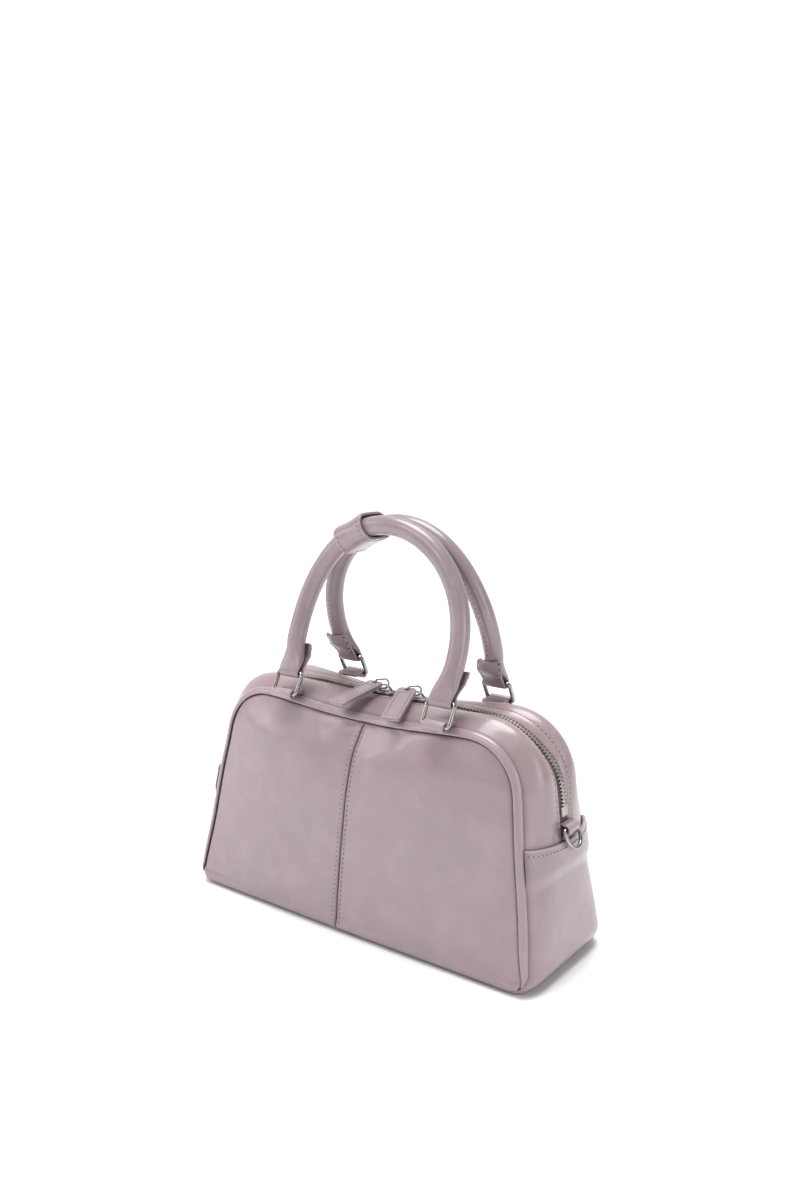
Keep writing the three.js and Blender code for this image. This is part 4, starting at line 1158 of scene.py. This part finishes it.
def pull_frame(x, link_turn, turn, fall):
    """Where a pull lies: across, along and up, from its eyelet"""
    along = forwards(turn) * math.cos(math.radians(fall)) - Vector((0, 0, math.sin(math.radians(fall))))
    across = along.cross(Vector((0, 0, 1))).normalized()
    up = across.cross(along)
    place = Matrix((across, along, up)).transposed().to_4x4()
    eyelet = link_centre(x, link_turn) + forwards(link_turn) * LINK_HALF_LENGTH
    return Matrix.Translation(eyelet) @ place


def pull_mesh():
    """Two layers of leather sewn together, with softened edges and a hole for the link"""
    mesh = bmesh.new()
    half = PULL_WIDTH / 2
    corners = [(-half, 0), (PULL_NOSE - half, -PULL_NOSE), (half - PULL_NOSE, -PULL_NOSE), (half, 0)]
    corners += [(half, PULL_LENGTH - PULL_CORNER), (half - PULL_CORNER, PULL_LENGTH)]
    corners += [(PULL_CORNER - half, PULL_LENGTH), (-half, PULL_LENGTH - PULL_CORNER)]
    shift = PULL_NOSE - PULL_EYELET_SET_BACK
    for low, high, inset in [(-1.3, -0.12, 0), (-0.2, 0.2, 0.22), (0.12, 1.3, 0)]:
        shrink = 1 - inset / half
        outer = []
        for k, (x, y) in enumerate(corners):
            following = corners[(k + 1) % len(corners)]
            for step in range(5):
                a, b = lerp(x, following[0], step / 5), lerp(y, following[1], step / 5)
                outer.append(mesh.verts.new(Vector((a * shrink, b + shift, low)) * MM))
        ring = bmesh.ops.create_circle(mesh, segments=20, radius=PULL_EYELET_RADIUS * MM)["verts"]
        bmesh.ops.translate(mesh, vec=Vector((0, 0, low)) * MM, verts=ring)
        rim = [mesh.edges.new((outer[k], outer[(k + 1) % len(outer)])) for k in range(len(outer))]
        inner = list({edge for vert in ring for edge in vert.link_edges})
        faces = bmesh.ops.bridge_loops(mesh, edges=rim + inner)["faces"]
        made = bmesh.ops.extrude_face_region(mesh, geom=faces)["geom"]
        top = [part for part in made if isinstance(part, bmesh.types.BMVert)]
        bmesh.ops.translate(mesh, vec=Vector((0, 0, high - low)) * MM, verts=top)
    bmesh.ops.recalc_face_normals(mesh, faces=mesh.faces)
    sharp = [edge for edge in mesh.edges if len(edge.link_faces) == 2 and edge.calc_face_angle() > 1.2]
    soften(mesh, sharp, 0.28)
    return mesh


for name, x, link_turn, turn, fall in PULLS:
    piece(f"slider_{name}", slider_mesh(x), NICKEL, f"zip_slider_{name}")
    centre = link_centre(x, link_turn)
    sizes = (LINK_HALF_LENGTH, LINK_HALF_HEIGHT, LINK_HALF_HEIGHT - 0.1)
    path = rounded_loop(centre, forwards(link_turn), Vector((0, 0, 1)), *sizes, 8)
    piece(f"link_{name}", laid(wire(path, LINK_WIRE_RADIUS), True, True), NICKEL, f"pull_link_{name}")
    mesh = pull_mesh()
    place = pull_frame(x, link_turn, turn, fall)
    scaled = Matrix.Translation(place.translation * MM) @ place.to_3x3().to_4x4()
    bmesh.ops.transform(mesh, matrix=scaled, verts=mesh.verts)
    piece(f"pull_{name}", mesh, LEATHERS["trim"], f"pull_tab_{name}")
    inner = PULL_WIDTH / 2 - PULL_ROW_INSET
    near, far = 4.2, PULL_LENGTH + PULL_NOSE - PULL_EYELET_SET_BACK - PULL_ROW_INSET
    corners = [(-inner, near), (-inner, far), (inner, far), (inner, near)]
    for face in (1, -1):
        out = place.to_3x3() @ Vector((0, 0, face))
        for (x0, y0), (x1, y1) in zip(corners, corners[1:] + corners[:1]):
            line = [
                (place @ Vector((lerp(x0, x1, k / 8), lerp(y0, y1, k / 8), face * PULL_THICKNESS / 2)), out)
                for k in range(9)
            ]
            stitch_row(line, pitch=2.9, width=0.6, hole_size=0.34)

# Handles and their rings
RING_UP = Vector((0, math.sin(RING_LEAN), math.cos(RING_LEAN)))
UPPER_BAR = RING_CENTRE + RING_UP * (RING_BAR_SPACING / 2)
LOWER_BAR = RING_CENTRE - RING_UP * (RING_BAR_SPACING / 2)
OUTER = Vector((0, -RING_UP.z, RING_UP.y))


def handle_point(z):
    """The handle's centreline at a height"""
    share = min(1, max(0, (z - UPPER_BAR.z) / (HANDLE_APEX_Z - UPPER_BAR.z)))
    y = -lerp(HANDLE_APEX_DEPTH, -UPPER_BAR.y, (1 - share) ** HANDLE_LEAN_POWER)
    if z < HANDLE_WIDEST_Z:
        below = (HANDLE_WIDEST_Z - z) / (HANDLE_WIDEST_Z - UPPER_BAR.z)
        return Vector((HANDLE_HALF_WIDTH - (HANDLE_HALF_WIDTH - HANDLE_RING_SPREAD) * below * below, y, z))
    rise = (z - HANDLE_WIDEST_Z) / (HANDLE_APEX_Z - HANDLE_WIDEST_Z)
    return Vector((HANDLE_HALF_WIDTH * math.sqrt(max(0, 1 - rise * rise)), y, z))


def handle_tangent(z):
    if z > HANDLE_APEX_Z - 0.01:
        return Vector((1, 0, 0))
    return (handle_point(z - 0.5) - handle_point(min(z + 0.5, HANDLE_APEX_Z))).normalized()


def wrapped(point, centre, up):
    """A point of the shield, bent round the leg more and more towards the shield's free end"""
    across = point.x - centre.x
    lift = (point - centre).dot(-OUTER)
    hug = smooth(up, 0.15, 0.75)
    radius = lerp(60, 2 * HANDLE_RADIUS, hug)
    angle = across / radius
    turned_in = (radius + lift) * math.cos(angle) - radius
    height = (point - centre).dot(RING_UP)
    return centre + Vector(((radius + lift) * math.sin(angle), 0, 0)) - OUTER * turned_in + RING_UP * height


def handle_half():
    """Sections of the front handle's right half, from its apex round the ring's bar and up the shield"""
    leg_top = UPPER_BAR.z + HANDLE_END_SECTIONS[0][0] * SHIELD_LENGTH * RING_UP.z
    heights = [lerp(HANDLE_WIDEST_Z, HANDLE_APEX_Z, math.cos(k / 26 * math.pi / 2)) for k in range(27)]
    heights = [z for z in heights if z > leg_top + 2] + [leg_top]
    sections = []
    for z in heights:
        centre = handle_point(z)
        lumpy = 1 + 0.012 * ripple(centre, 16, 7)
        size = HANDLE_RADIUS * lumpy
        fade = smooth(z, leg_top, leg_top + 6)
        sections.append(ring_section(centre, handle_tangent(z), Vector((0, -1, 0)), size, size, welt=fade))
    for up, width, thickness, shift, square in HANDLE_END_SECTIONS[1:]:
        on_line = UPPER_BAR + RING_UP * (up * SHIELD_LENGTH)
        centre = handle_point(on_line.z).lerp(on_line, 1 - up) + OUTER * (shift * HANDLE_RADIUS)
        wide, thick = width * HANDLE_RADIUS, thickness * HANDLE_RADIUS
        sections.append(ring_section(centre, -RING_UP, OUTER, wide, thick, square))
    radius = RING_WIRE_RADIUS + RING_PLAY + STRAP_THICKNESS / 2
    strap_half = RING_INNER_WIDTH / 2 - RING_PLAY
    for k in range(7):
        angle = k / 6 * math.pi
        away = OUTER * math.cos(angle) - RING_UP * math.sin(angle)
        tangent = -RING_UP * math.cos(angle) - OUTER * math.sin(angle)
        sections.append(
            ring_section(UPPER_BAR + away * radius, tangent, away, strap_half, STRAP_THICKNESS / 2, 0.45)
        )
    for up, width, stand_off in SHIELD_SECTIONS:
        on_line = UPPER_BAR + RING_UP * (up * SHIELD_LENGTH)
        follow = up * up
        centre = on_line.lerp(handle_point(on_line.z), follow) - OUTER * (stand_off * HANDLE_RADIUS + GAP)
        half = width * SHIELD_HALF_WIDTH
        section = ring_section(centre, RING_UP, -OUTER, half, 1, 0.45)
        sections.append([wrapped(point, centre, up) for point in section])
    return filled_in(sections, 1.6)


right_half = handle_half()
left_half = [[Vector((-p.x, p.y, p.z)) for p in ring] for ring in right_half[1:]]
handle_rings = list(reversed(left_half)) + right_half


def handle_seam_shade(row, column):
    """Painted shade along the turned seam of the handle"""
    angle = (column + 0.5) / HANDLE_SIDES * 2 * math.pi
    along = (angle - 1.5 * math.pi) * HANDLE_RADIUS
    middle = abs(row - (len(handle_rings) - 1) / 2) / len(handle_rings)
    return 0.7 * bump(along - 1.9, 0.5) * (1 - smooth(middle, 0.28, 0.3))


for side, y in [("front", 1), ("back", -1)]:
    mesh = laid(handle_rings, round_columns=True, capped=True, marks={"crease": handle_seam_shade})
    piece(f"{side}_rolled_handle", turned(mesh, y=y), LEATHERS["handle"], f"{side}_handle")
    for end, x in [("right", 1), ("left", -1)]:
        sizes = (RING_INNER_WIDTH / 2 + RING_WIRE_RADIUS, RING_BAR_SPACING / 2, RING_CORNER_RADIUS)
        path = rounded_loop(RING_CENTRE, Vector((1, 0, 0)), RING_UP, *sizes, 7)
        mesh = laid(wire(path, RING_WIRE_RADIUS, 16, 1.25), True, True)
        piece(f"{side}_handle_ring_{end}", turned(mesh, x=x, y=y), NICKEL, f"{side}_ring_{end}")
        seam = []
        leg_top = UPPER_BAR.z + SHIELD_LENGTH * RING_UP.z + 3
        for k in range(81):
            z = lerp(leg_top, HANDLE_APEX_Z - 0.4, math.sin(k / 80 * math.pi / 2))
            centre = handle_point(z)
            tangent = handle_tangent(z)
            across = Vector((0, -1, 0)).cross(tangent).normalized()
            face = tangent.cross(across).normalized()
            out = (-face - across * 0.02).normalized()
            seam.append((centre + out * HANDLE_RADIUS * 1.05, out))
        flip = Vector((x, y, 1))
        stitch_row([(p * flip, n * flip) for p, n in seam], pitch=3.3, width=0.55, lift=0, hole_size=0.4)
        for wing in (1, -1):
            line = []
            for k in range(31):
                up = lerp(0.3, 0.94, k / 30)
                width, stand_off = from_table(SHIELD_SECTIONS, up)
                on_line = UPPER_BAR + RING_UP * (up * SHIELD_LENGTH)
                centre = on_line.lerp(handle_point(on_line.z), up * up)
                centre -= OUTER * (stand_off * HANDLE_RADIUS + GAP)
                half = wing * (width * SHIELD_HALF_WIDTH - 1.9)
                point = wrapped(centre + Vector((half, 0, 0)) - OUTER, centre, up)
                below = wrapped(centre + Vector((half, 0, 0)), centre, up)
                line.append((point * flip, (point - below).normalized() * flip))
            stitch_row(line, pitch=4.6, width=0.85, lift=0.1, hole_size=0.75, stitch_share=0.6)


# Leather loops that hold the handle rings
def chape_mesh():
    outer_zone = 5 - (HANDLE_RING_SPREAD + CHAPE_WIDTH / 2) / SHOULDER[0]
    z_seam, depth = seam_at(outer_zone)[1], seam_at(outer_zone)[4]
    tail_low = z_seam + PIPING_REACH + GAP
    tail_high = tail_low + 1.8 * CHAPE_THICKNESS
    root_y = band_inset(outer_zone) - depth + GAP
    root_z = band_point(outer_zone, root_y + CHAPE_THICKNESS).z + 2 * GAP
    layer = (tail_high - tail_low) / 2 - 0.06
    radius = RING_WIRE_RADIUS + RING_PLAY + layer / 2
    upper, lower = tail_high - layer / 2, tail_low + layer / 2
    mesh = bmesh.new()
    path = [(root_y + layer / 2, root_z), (root_y + layer / 2, upper - 0.8), (root_y, upper - 0.1)]
    start = math.asin(min(1, (upper - LOWER_BAR.z) / radius))
    stop = 2 * math.pi + math.asin(max(-1, (lower - LOWER_BAR.z) / radius))
    for k in range(29):
        angle = lerp(start, stop, k / 28)
        path.append((LOWER_BAR.y + radius * math.cos(angle), LOWER_BAR.z + radius * math.sin(angle)))
    path.append((root_y - 0.2, lower))
    points = [Vector((HANDLE_RING_SPREAD, y, z)) for y, z in path]
    add_rings(mesh, ribbon(points, Vector((1, 0, 0)), CHAPE_WIDTH / 2, layer), False)
    return mesh


def d_tab_mesh():
    low = D_TAB_LOW
    high = low + D_TAB_ROOT_HEIGHT
    radius = D_BORE + D_TAB_THICKNESS / 2
    path = [Vector((end_x(high) + 2 * GAP + 0.4, 0, high))]
    for k in range(33):
        angle = lerp(0.58 * math.pi, -0.55 * math.pi, k / 32)
        path.append(D_BAR + Vector((radius * math.cos(angle), 0, radius * math.sin(angle))))
    path.append(Vector((end_x(low) + 2 * GAP + 0.8, 0, low + 0.3)))
    mesh = bmesh.new()
    add_rings(mesh, ribbon(path, Vector((0, 1, 0)), D_TAB_HALF_WIDTH, D_TAB_THICKNESS), False)
    return mesh


def end_x(z):
    return band_point(2 + (z - seam_at(2)[1]) / END_RISE, 0).x


D_BORE = D_RING_WIRE_RADIUS + RING_PLAY
D_BAR = Vector((end_x(D_RING_BAR_Z) + D_BORE + D_TAB_THICKNESS + 1.5 * GAP, 0, D_RING_BAR_Z))
D_TAB_LOW = band_point(END_TOP_ZONE - END_TOP_DIP / END_RISE, 0, LAP_RAISE).z + 4 * GAP


def d_ring_path():
    down = Vector((math.sin(D_RING_TILT), 0, -math.cos(D_RING_TILT)))
    half, corner = D_RING_HALF_WIDTH, D_RING_CORNER_RADIUS
    bow = D_RING_DROP - 2 * corner
    corners = []
    for k in range(9):
        angle = k / 8 * math.pi / 2
        corners.append((half - corner + corner * math.sin(angle), corner - corner * math.cos(angle)))
    outline = list(corners)
    for k in range(29):
        angle = k / 28 * math.pi
        outline.append((half * math.cos(angle), 2 * corner + bow * math.sin(angle)))
    outline += [(-y, fall) for y, fall in reversed(corners)]
    bar = [(lerp(-6.3, 6.3, k / 6), 0) for k in range(1, 6)]
    return [D_BAR + Vector((0, y, 0)) + down * fall for y, fall in outline + bar]


for end, x in [("right", 1), ("left", -1)]:
    for side, y in [("front", 1), ("back", -1)]:
        mesh = turned(chape_mesh(), x=x, y=y)
        piece(f"{side}_leather_loop_{end}", mesh, LEATHERS["trim"], f"{side}_chape_{end}")
    piece(f"strap_tab_{end}", turned(d_tab_mesh(), x=x), LEATHERS["trim"], f"d_ring_tab_{end}")
    mesh = laid(wire(d_ring_path(), D_RING_WIRE_RADIUS, 16), True, True)
    piece(f"strap_ring_{end}", turned(mesh, x=x), NICKEL, f"d_ring_{end}", body=f"ring_{end}")

# Keeper
KEEPER_SHARE = KEEPER_X / HANDLE_HALF_WIDTH
KEEPER_RISE = math.sqrt(1 - KEEPER_SHARE**2)
KEEPER_Z = lerp(HANDLE_WIDEST_Z, HANDLE_APEX_Z, KEEPER_RISE)
KEEPER_SLOPE = -KEEPER_SHARE * (HANDLE_APEX_Z - HANDLE_WIDEST_Z) / (HANDLE_HALF_WIDTH * KEEPER_RISE)
KEEPER_PLACE = (
    Matrix.Translation((KEEPER_X, 0, KEEPER_Z))
    @ Matrix.Rotation(-math.atan(KEEPER_SLOPE), 4, "Y")
    @ Matrix.Translation((0, 0, -KEEPER_SAG))
)
KEEPER_INNER_HALF = -handle_point(KEEPER_Z).y + HANDLE_RADIUS + KEEPER_SIDE_ROOM
KEEPER_INNER_HEIGHT = HANDLE_RADIUS + KEEPER_HEIGHT_ROOM


def keeper_point(round_share, along, grow=KEEPER_THICKNESS):
    """A point of the keeper's outer face: a share of the way round it and a place along the handles"""
    radius = KEEPER_INNER_HEIGHT + grow
    half = KEEPER_INNER_HALF - KEEPER_INNER_HEIGHT
    straight, arc = 2 * half, math.pi * radius
    at = (round_share % 1) * 2 * (straight + arc)
    if at < arc:
        angle = at / radius - math.pi / 2
        y, z = half + radius * math.cos(angle), radius * math.sin(angle)
    elif at < arc + straight:
        y, z = half - (at - arc), radius
    elif at < 2 * arc + straight:
        angle = (at - arc - straight) / radius + math.pi / 2
        y, z = -half + radius * math.cos(angle), radius * math.sin(angle)
    else:
        y, z = -half + (at - 2 * arc - straight), -radius
    waist = 1 - 0.03 * bump(along, 6)
    return KEEPER_PLACE @ Vector((along, y * waist, z * waist))


KEEPER_ALONG = [KEEPER_LENGTH * (share - 0.5) for share in graded(20, 0.7)]
rows = [[keeper_point(k / 96, along) for k in range(96)] for along in KEEPER_ALONG]


# Paler at the keeper's ends, partly as wear and partly as painted highlight
def keeper_wear_and_highlight(row, column):
    return 0.6 * math.exp(-(KEEPER_LENGTH / 2 - abs(KEEPER_ALONG[row])) / 0.7)


mesh = laid(rows, round_columns=True, marks={"worn": keeper_wear_and_highlight}, inside=KEEPER_PLACE.translation * MM)
piece("keeper", mesh, LEATHERS["handle"], "keeper_band", wall=KEEPER_THICKNESS, edge=0.45)
KEEPER_ROW = KEEPER_LENGTH / 2 - KEEPER_ROW_INSET
for along in (-KEEPER_ROW, KEEPER_ROW):
    line = []
    for k in range(97):
        point = keeper_point(k / 96, along)
        line.append((point, (point - keeper_point(k / 96, along, 0)).normalized()))
    stitch_row(line, pitch=3.3, width=0.65)

piece("stitches", pressed(stitch_places, 5), THREAD)
# Dark beads of painted shade in the holes between stitches
piece("stitch_hole_shade", pressed(hole_shade_places, 4), HOLE_SHADE)

# Floor, light and camera
floor_mesh = bmesh.new()
bmesh.ops.create_grid(floor_mesh, x_segments=2, y_segments=2, size=30)
floor_data = bpy.data.meshes.new("floor")
floor_mesh.to_mesh(floor_data)
floor_mesh.free()
floor = linked("floor", floor_data)
floor_paint = Paint("pale floor", "none", {"Roughness": 0.7, "Specular IOR Level": 0.2})
floor_paint.finish(floor_paint.mix(floor_paint.cloud(400, 3), (0.93, 0.94, 0.95), (0.95, 0.955, 0.96)))
floor_data.materials.append(floor_paint.material)

world = bpy.data.worlds.new("studio")
bpy.context.scene.world = world
world.use_nodes = True
sky = world.node_tree
facing = sky.nodes.new("ShaderNodeVectorMath")
facing.operation = "DOT_PRODUCT"
facing.inputs[1].default_value = (-0.58, 0.81, 0)
sky.links.new(sky.nodes.new("ShaderNodeTexCoord").outputs["Generated"], facing.inputs[0])
fall = sky.nodes.new("ShaderNodeMapRange")
fall.interpolation_type = "SMOOTHSTEP"
for socket, value in zip(("From Min", "From Max", "To Min", "To Max"), (0.35, 0.8, 0.22, 1.06)):
    fall.inputs[socket].default_value = value
sky.links.new(facing.outputs["Value"], fall.inputs["Value"])
sky.nodes["Background"].inputs["Color"].default_value = (0.99, 0.996, 1, 1)
sky.links.new(fall.outputs["Result"], sky.nodes["Background"].inputs["Strength"])

sun = bpy.data.lights.new("broad overhead light", "SUN")
sun.energy = 3.45
sun.angle = math.radians(38)
overhead = linked("broad overhead light", sun)
overhead.rotation_euler = Vector((0.12, -0.1, -1)).to_track_quat("-Z", "Y").to_euler()


def softbox(name, place, target, size, power):
    light = bpy.data.lights.new(name, "AREA")
    light.shape = "RECTANGLE"
    light.size, light.size_y = size
    light.energy = power
    lamp = linked(name, light)
    lamp.location = place
    lamp.rotation_euler = (Vector(target) - Vector(place)).to_track_quat("-Z", "Y").to_euler()


softbox("left softbox", (-1.3, -0.9, 0.75), (0, 0, 0.12), (0.5, 1.1), 6)
softbox("front softbox", (-0.35, -1.5, 1.6), (0, 0, 0.12), (1.2, 0.6), 11.5)
softbox("right softbox", (1.6, -0.1, 0.6), (0, 0, 0.1), (0.5, 1.0), 6)

VIEWPOINT = (0.4002, -0.5444, 0.3355)
YAW, PITCH, ROLL = math.radians(35.88), math.radians(14.12), math.radians(0.88)
FOCAL_PIXELS, PRINCIPAL_Y = 1050.11, 678.48
sight = Vector((-math.sin(YAW) * math.cos(PITCH), math.cos(YAW) * math.cos(PITCH), -math.sin(PITCH)))
level = Vector((math.cos(YAW), math.sin(YAW), 0))
upright = level.cross(sight)
right = level * math.cos(ROLL) + upright * math.sin(ROLL)
above = upright * math.cos(ROLL) - level * math.sin(ROLL)
lens = bpy.data.cameras.new("camera")
lens.sensor_fit = "VERTICAL"
lens.sensor_height = 36
lens.sensor_width = 24
lens.lens = FOCAL_PIXELS / 1200 * 36
lens.shift_y = (PRINCIPAL_Y - 600) / 1200
lens.clip_start = 0.01
camera = linked("camera", lens)
turn = Matrix((right, above, -sight)).transposed().to_4x4()
camera.matrix_world = Matrix.Translation(VIEWPOINT) @ turn
bpy.context.scene.camera = camera
bpy.context.scene.view_settings.view_transform = "Standard"
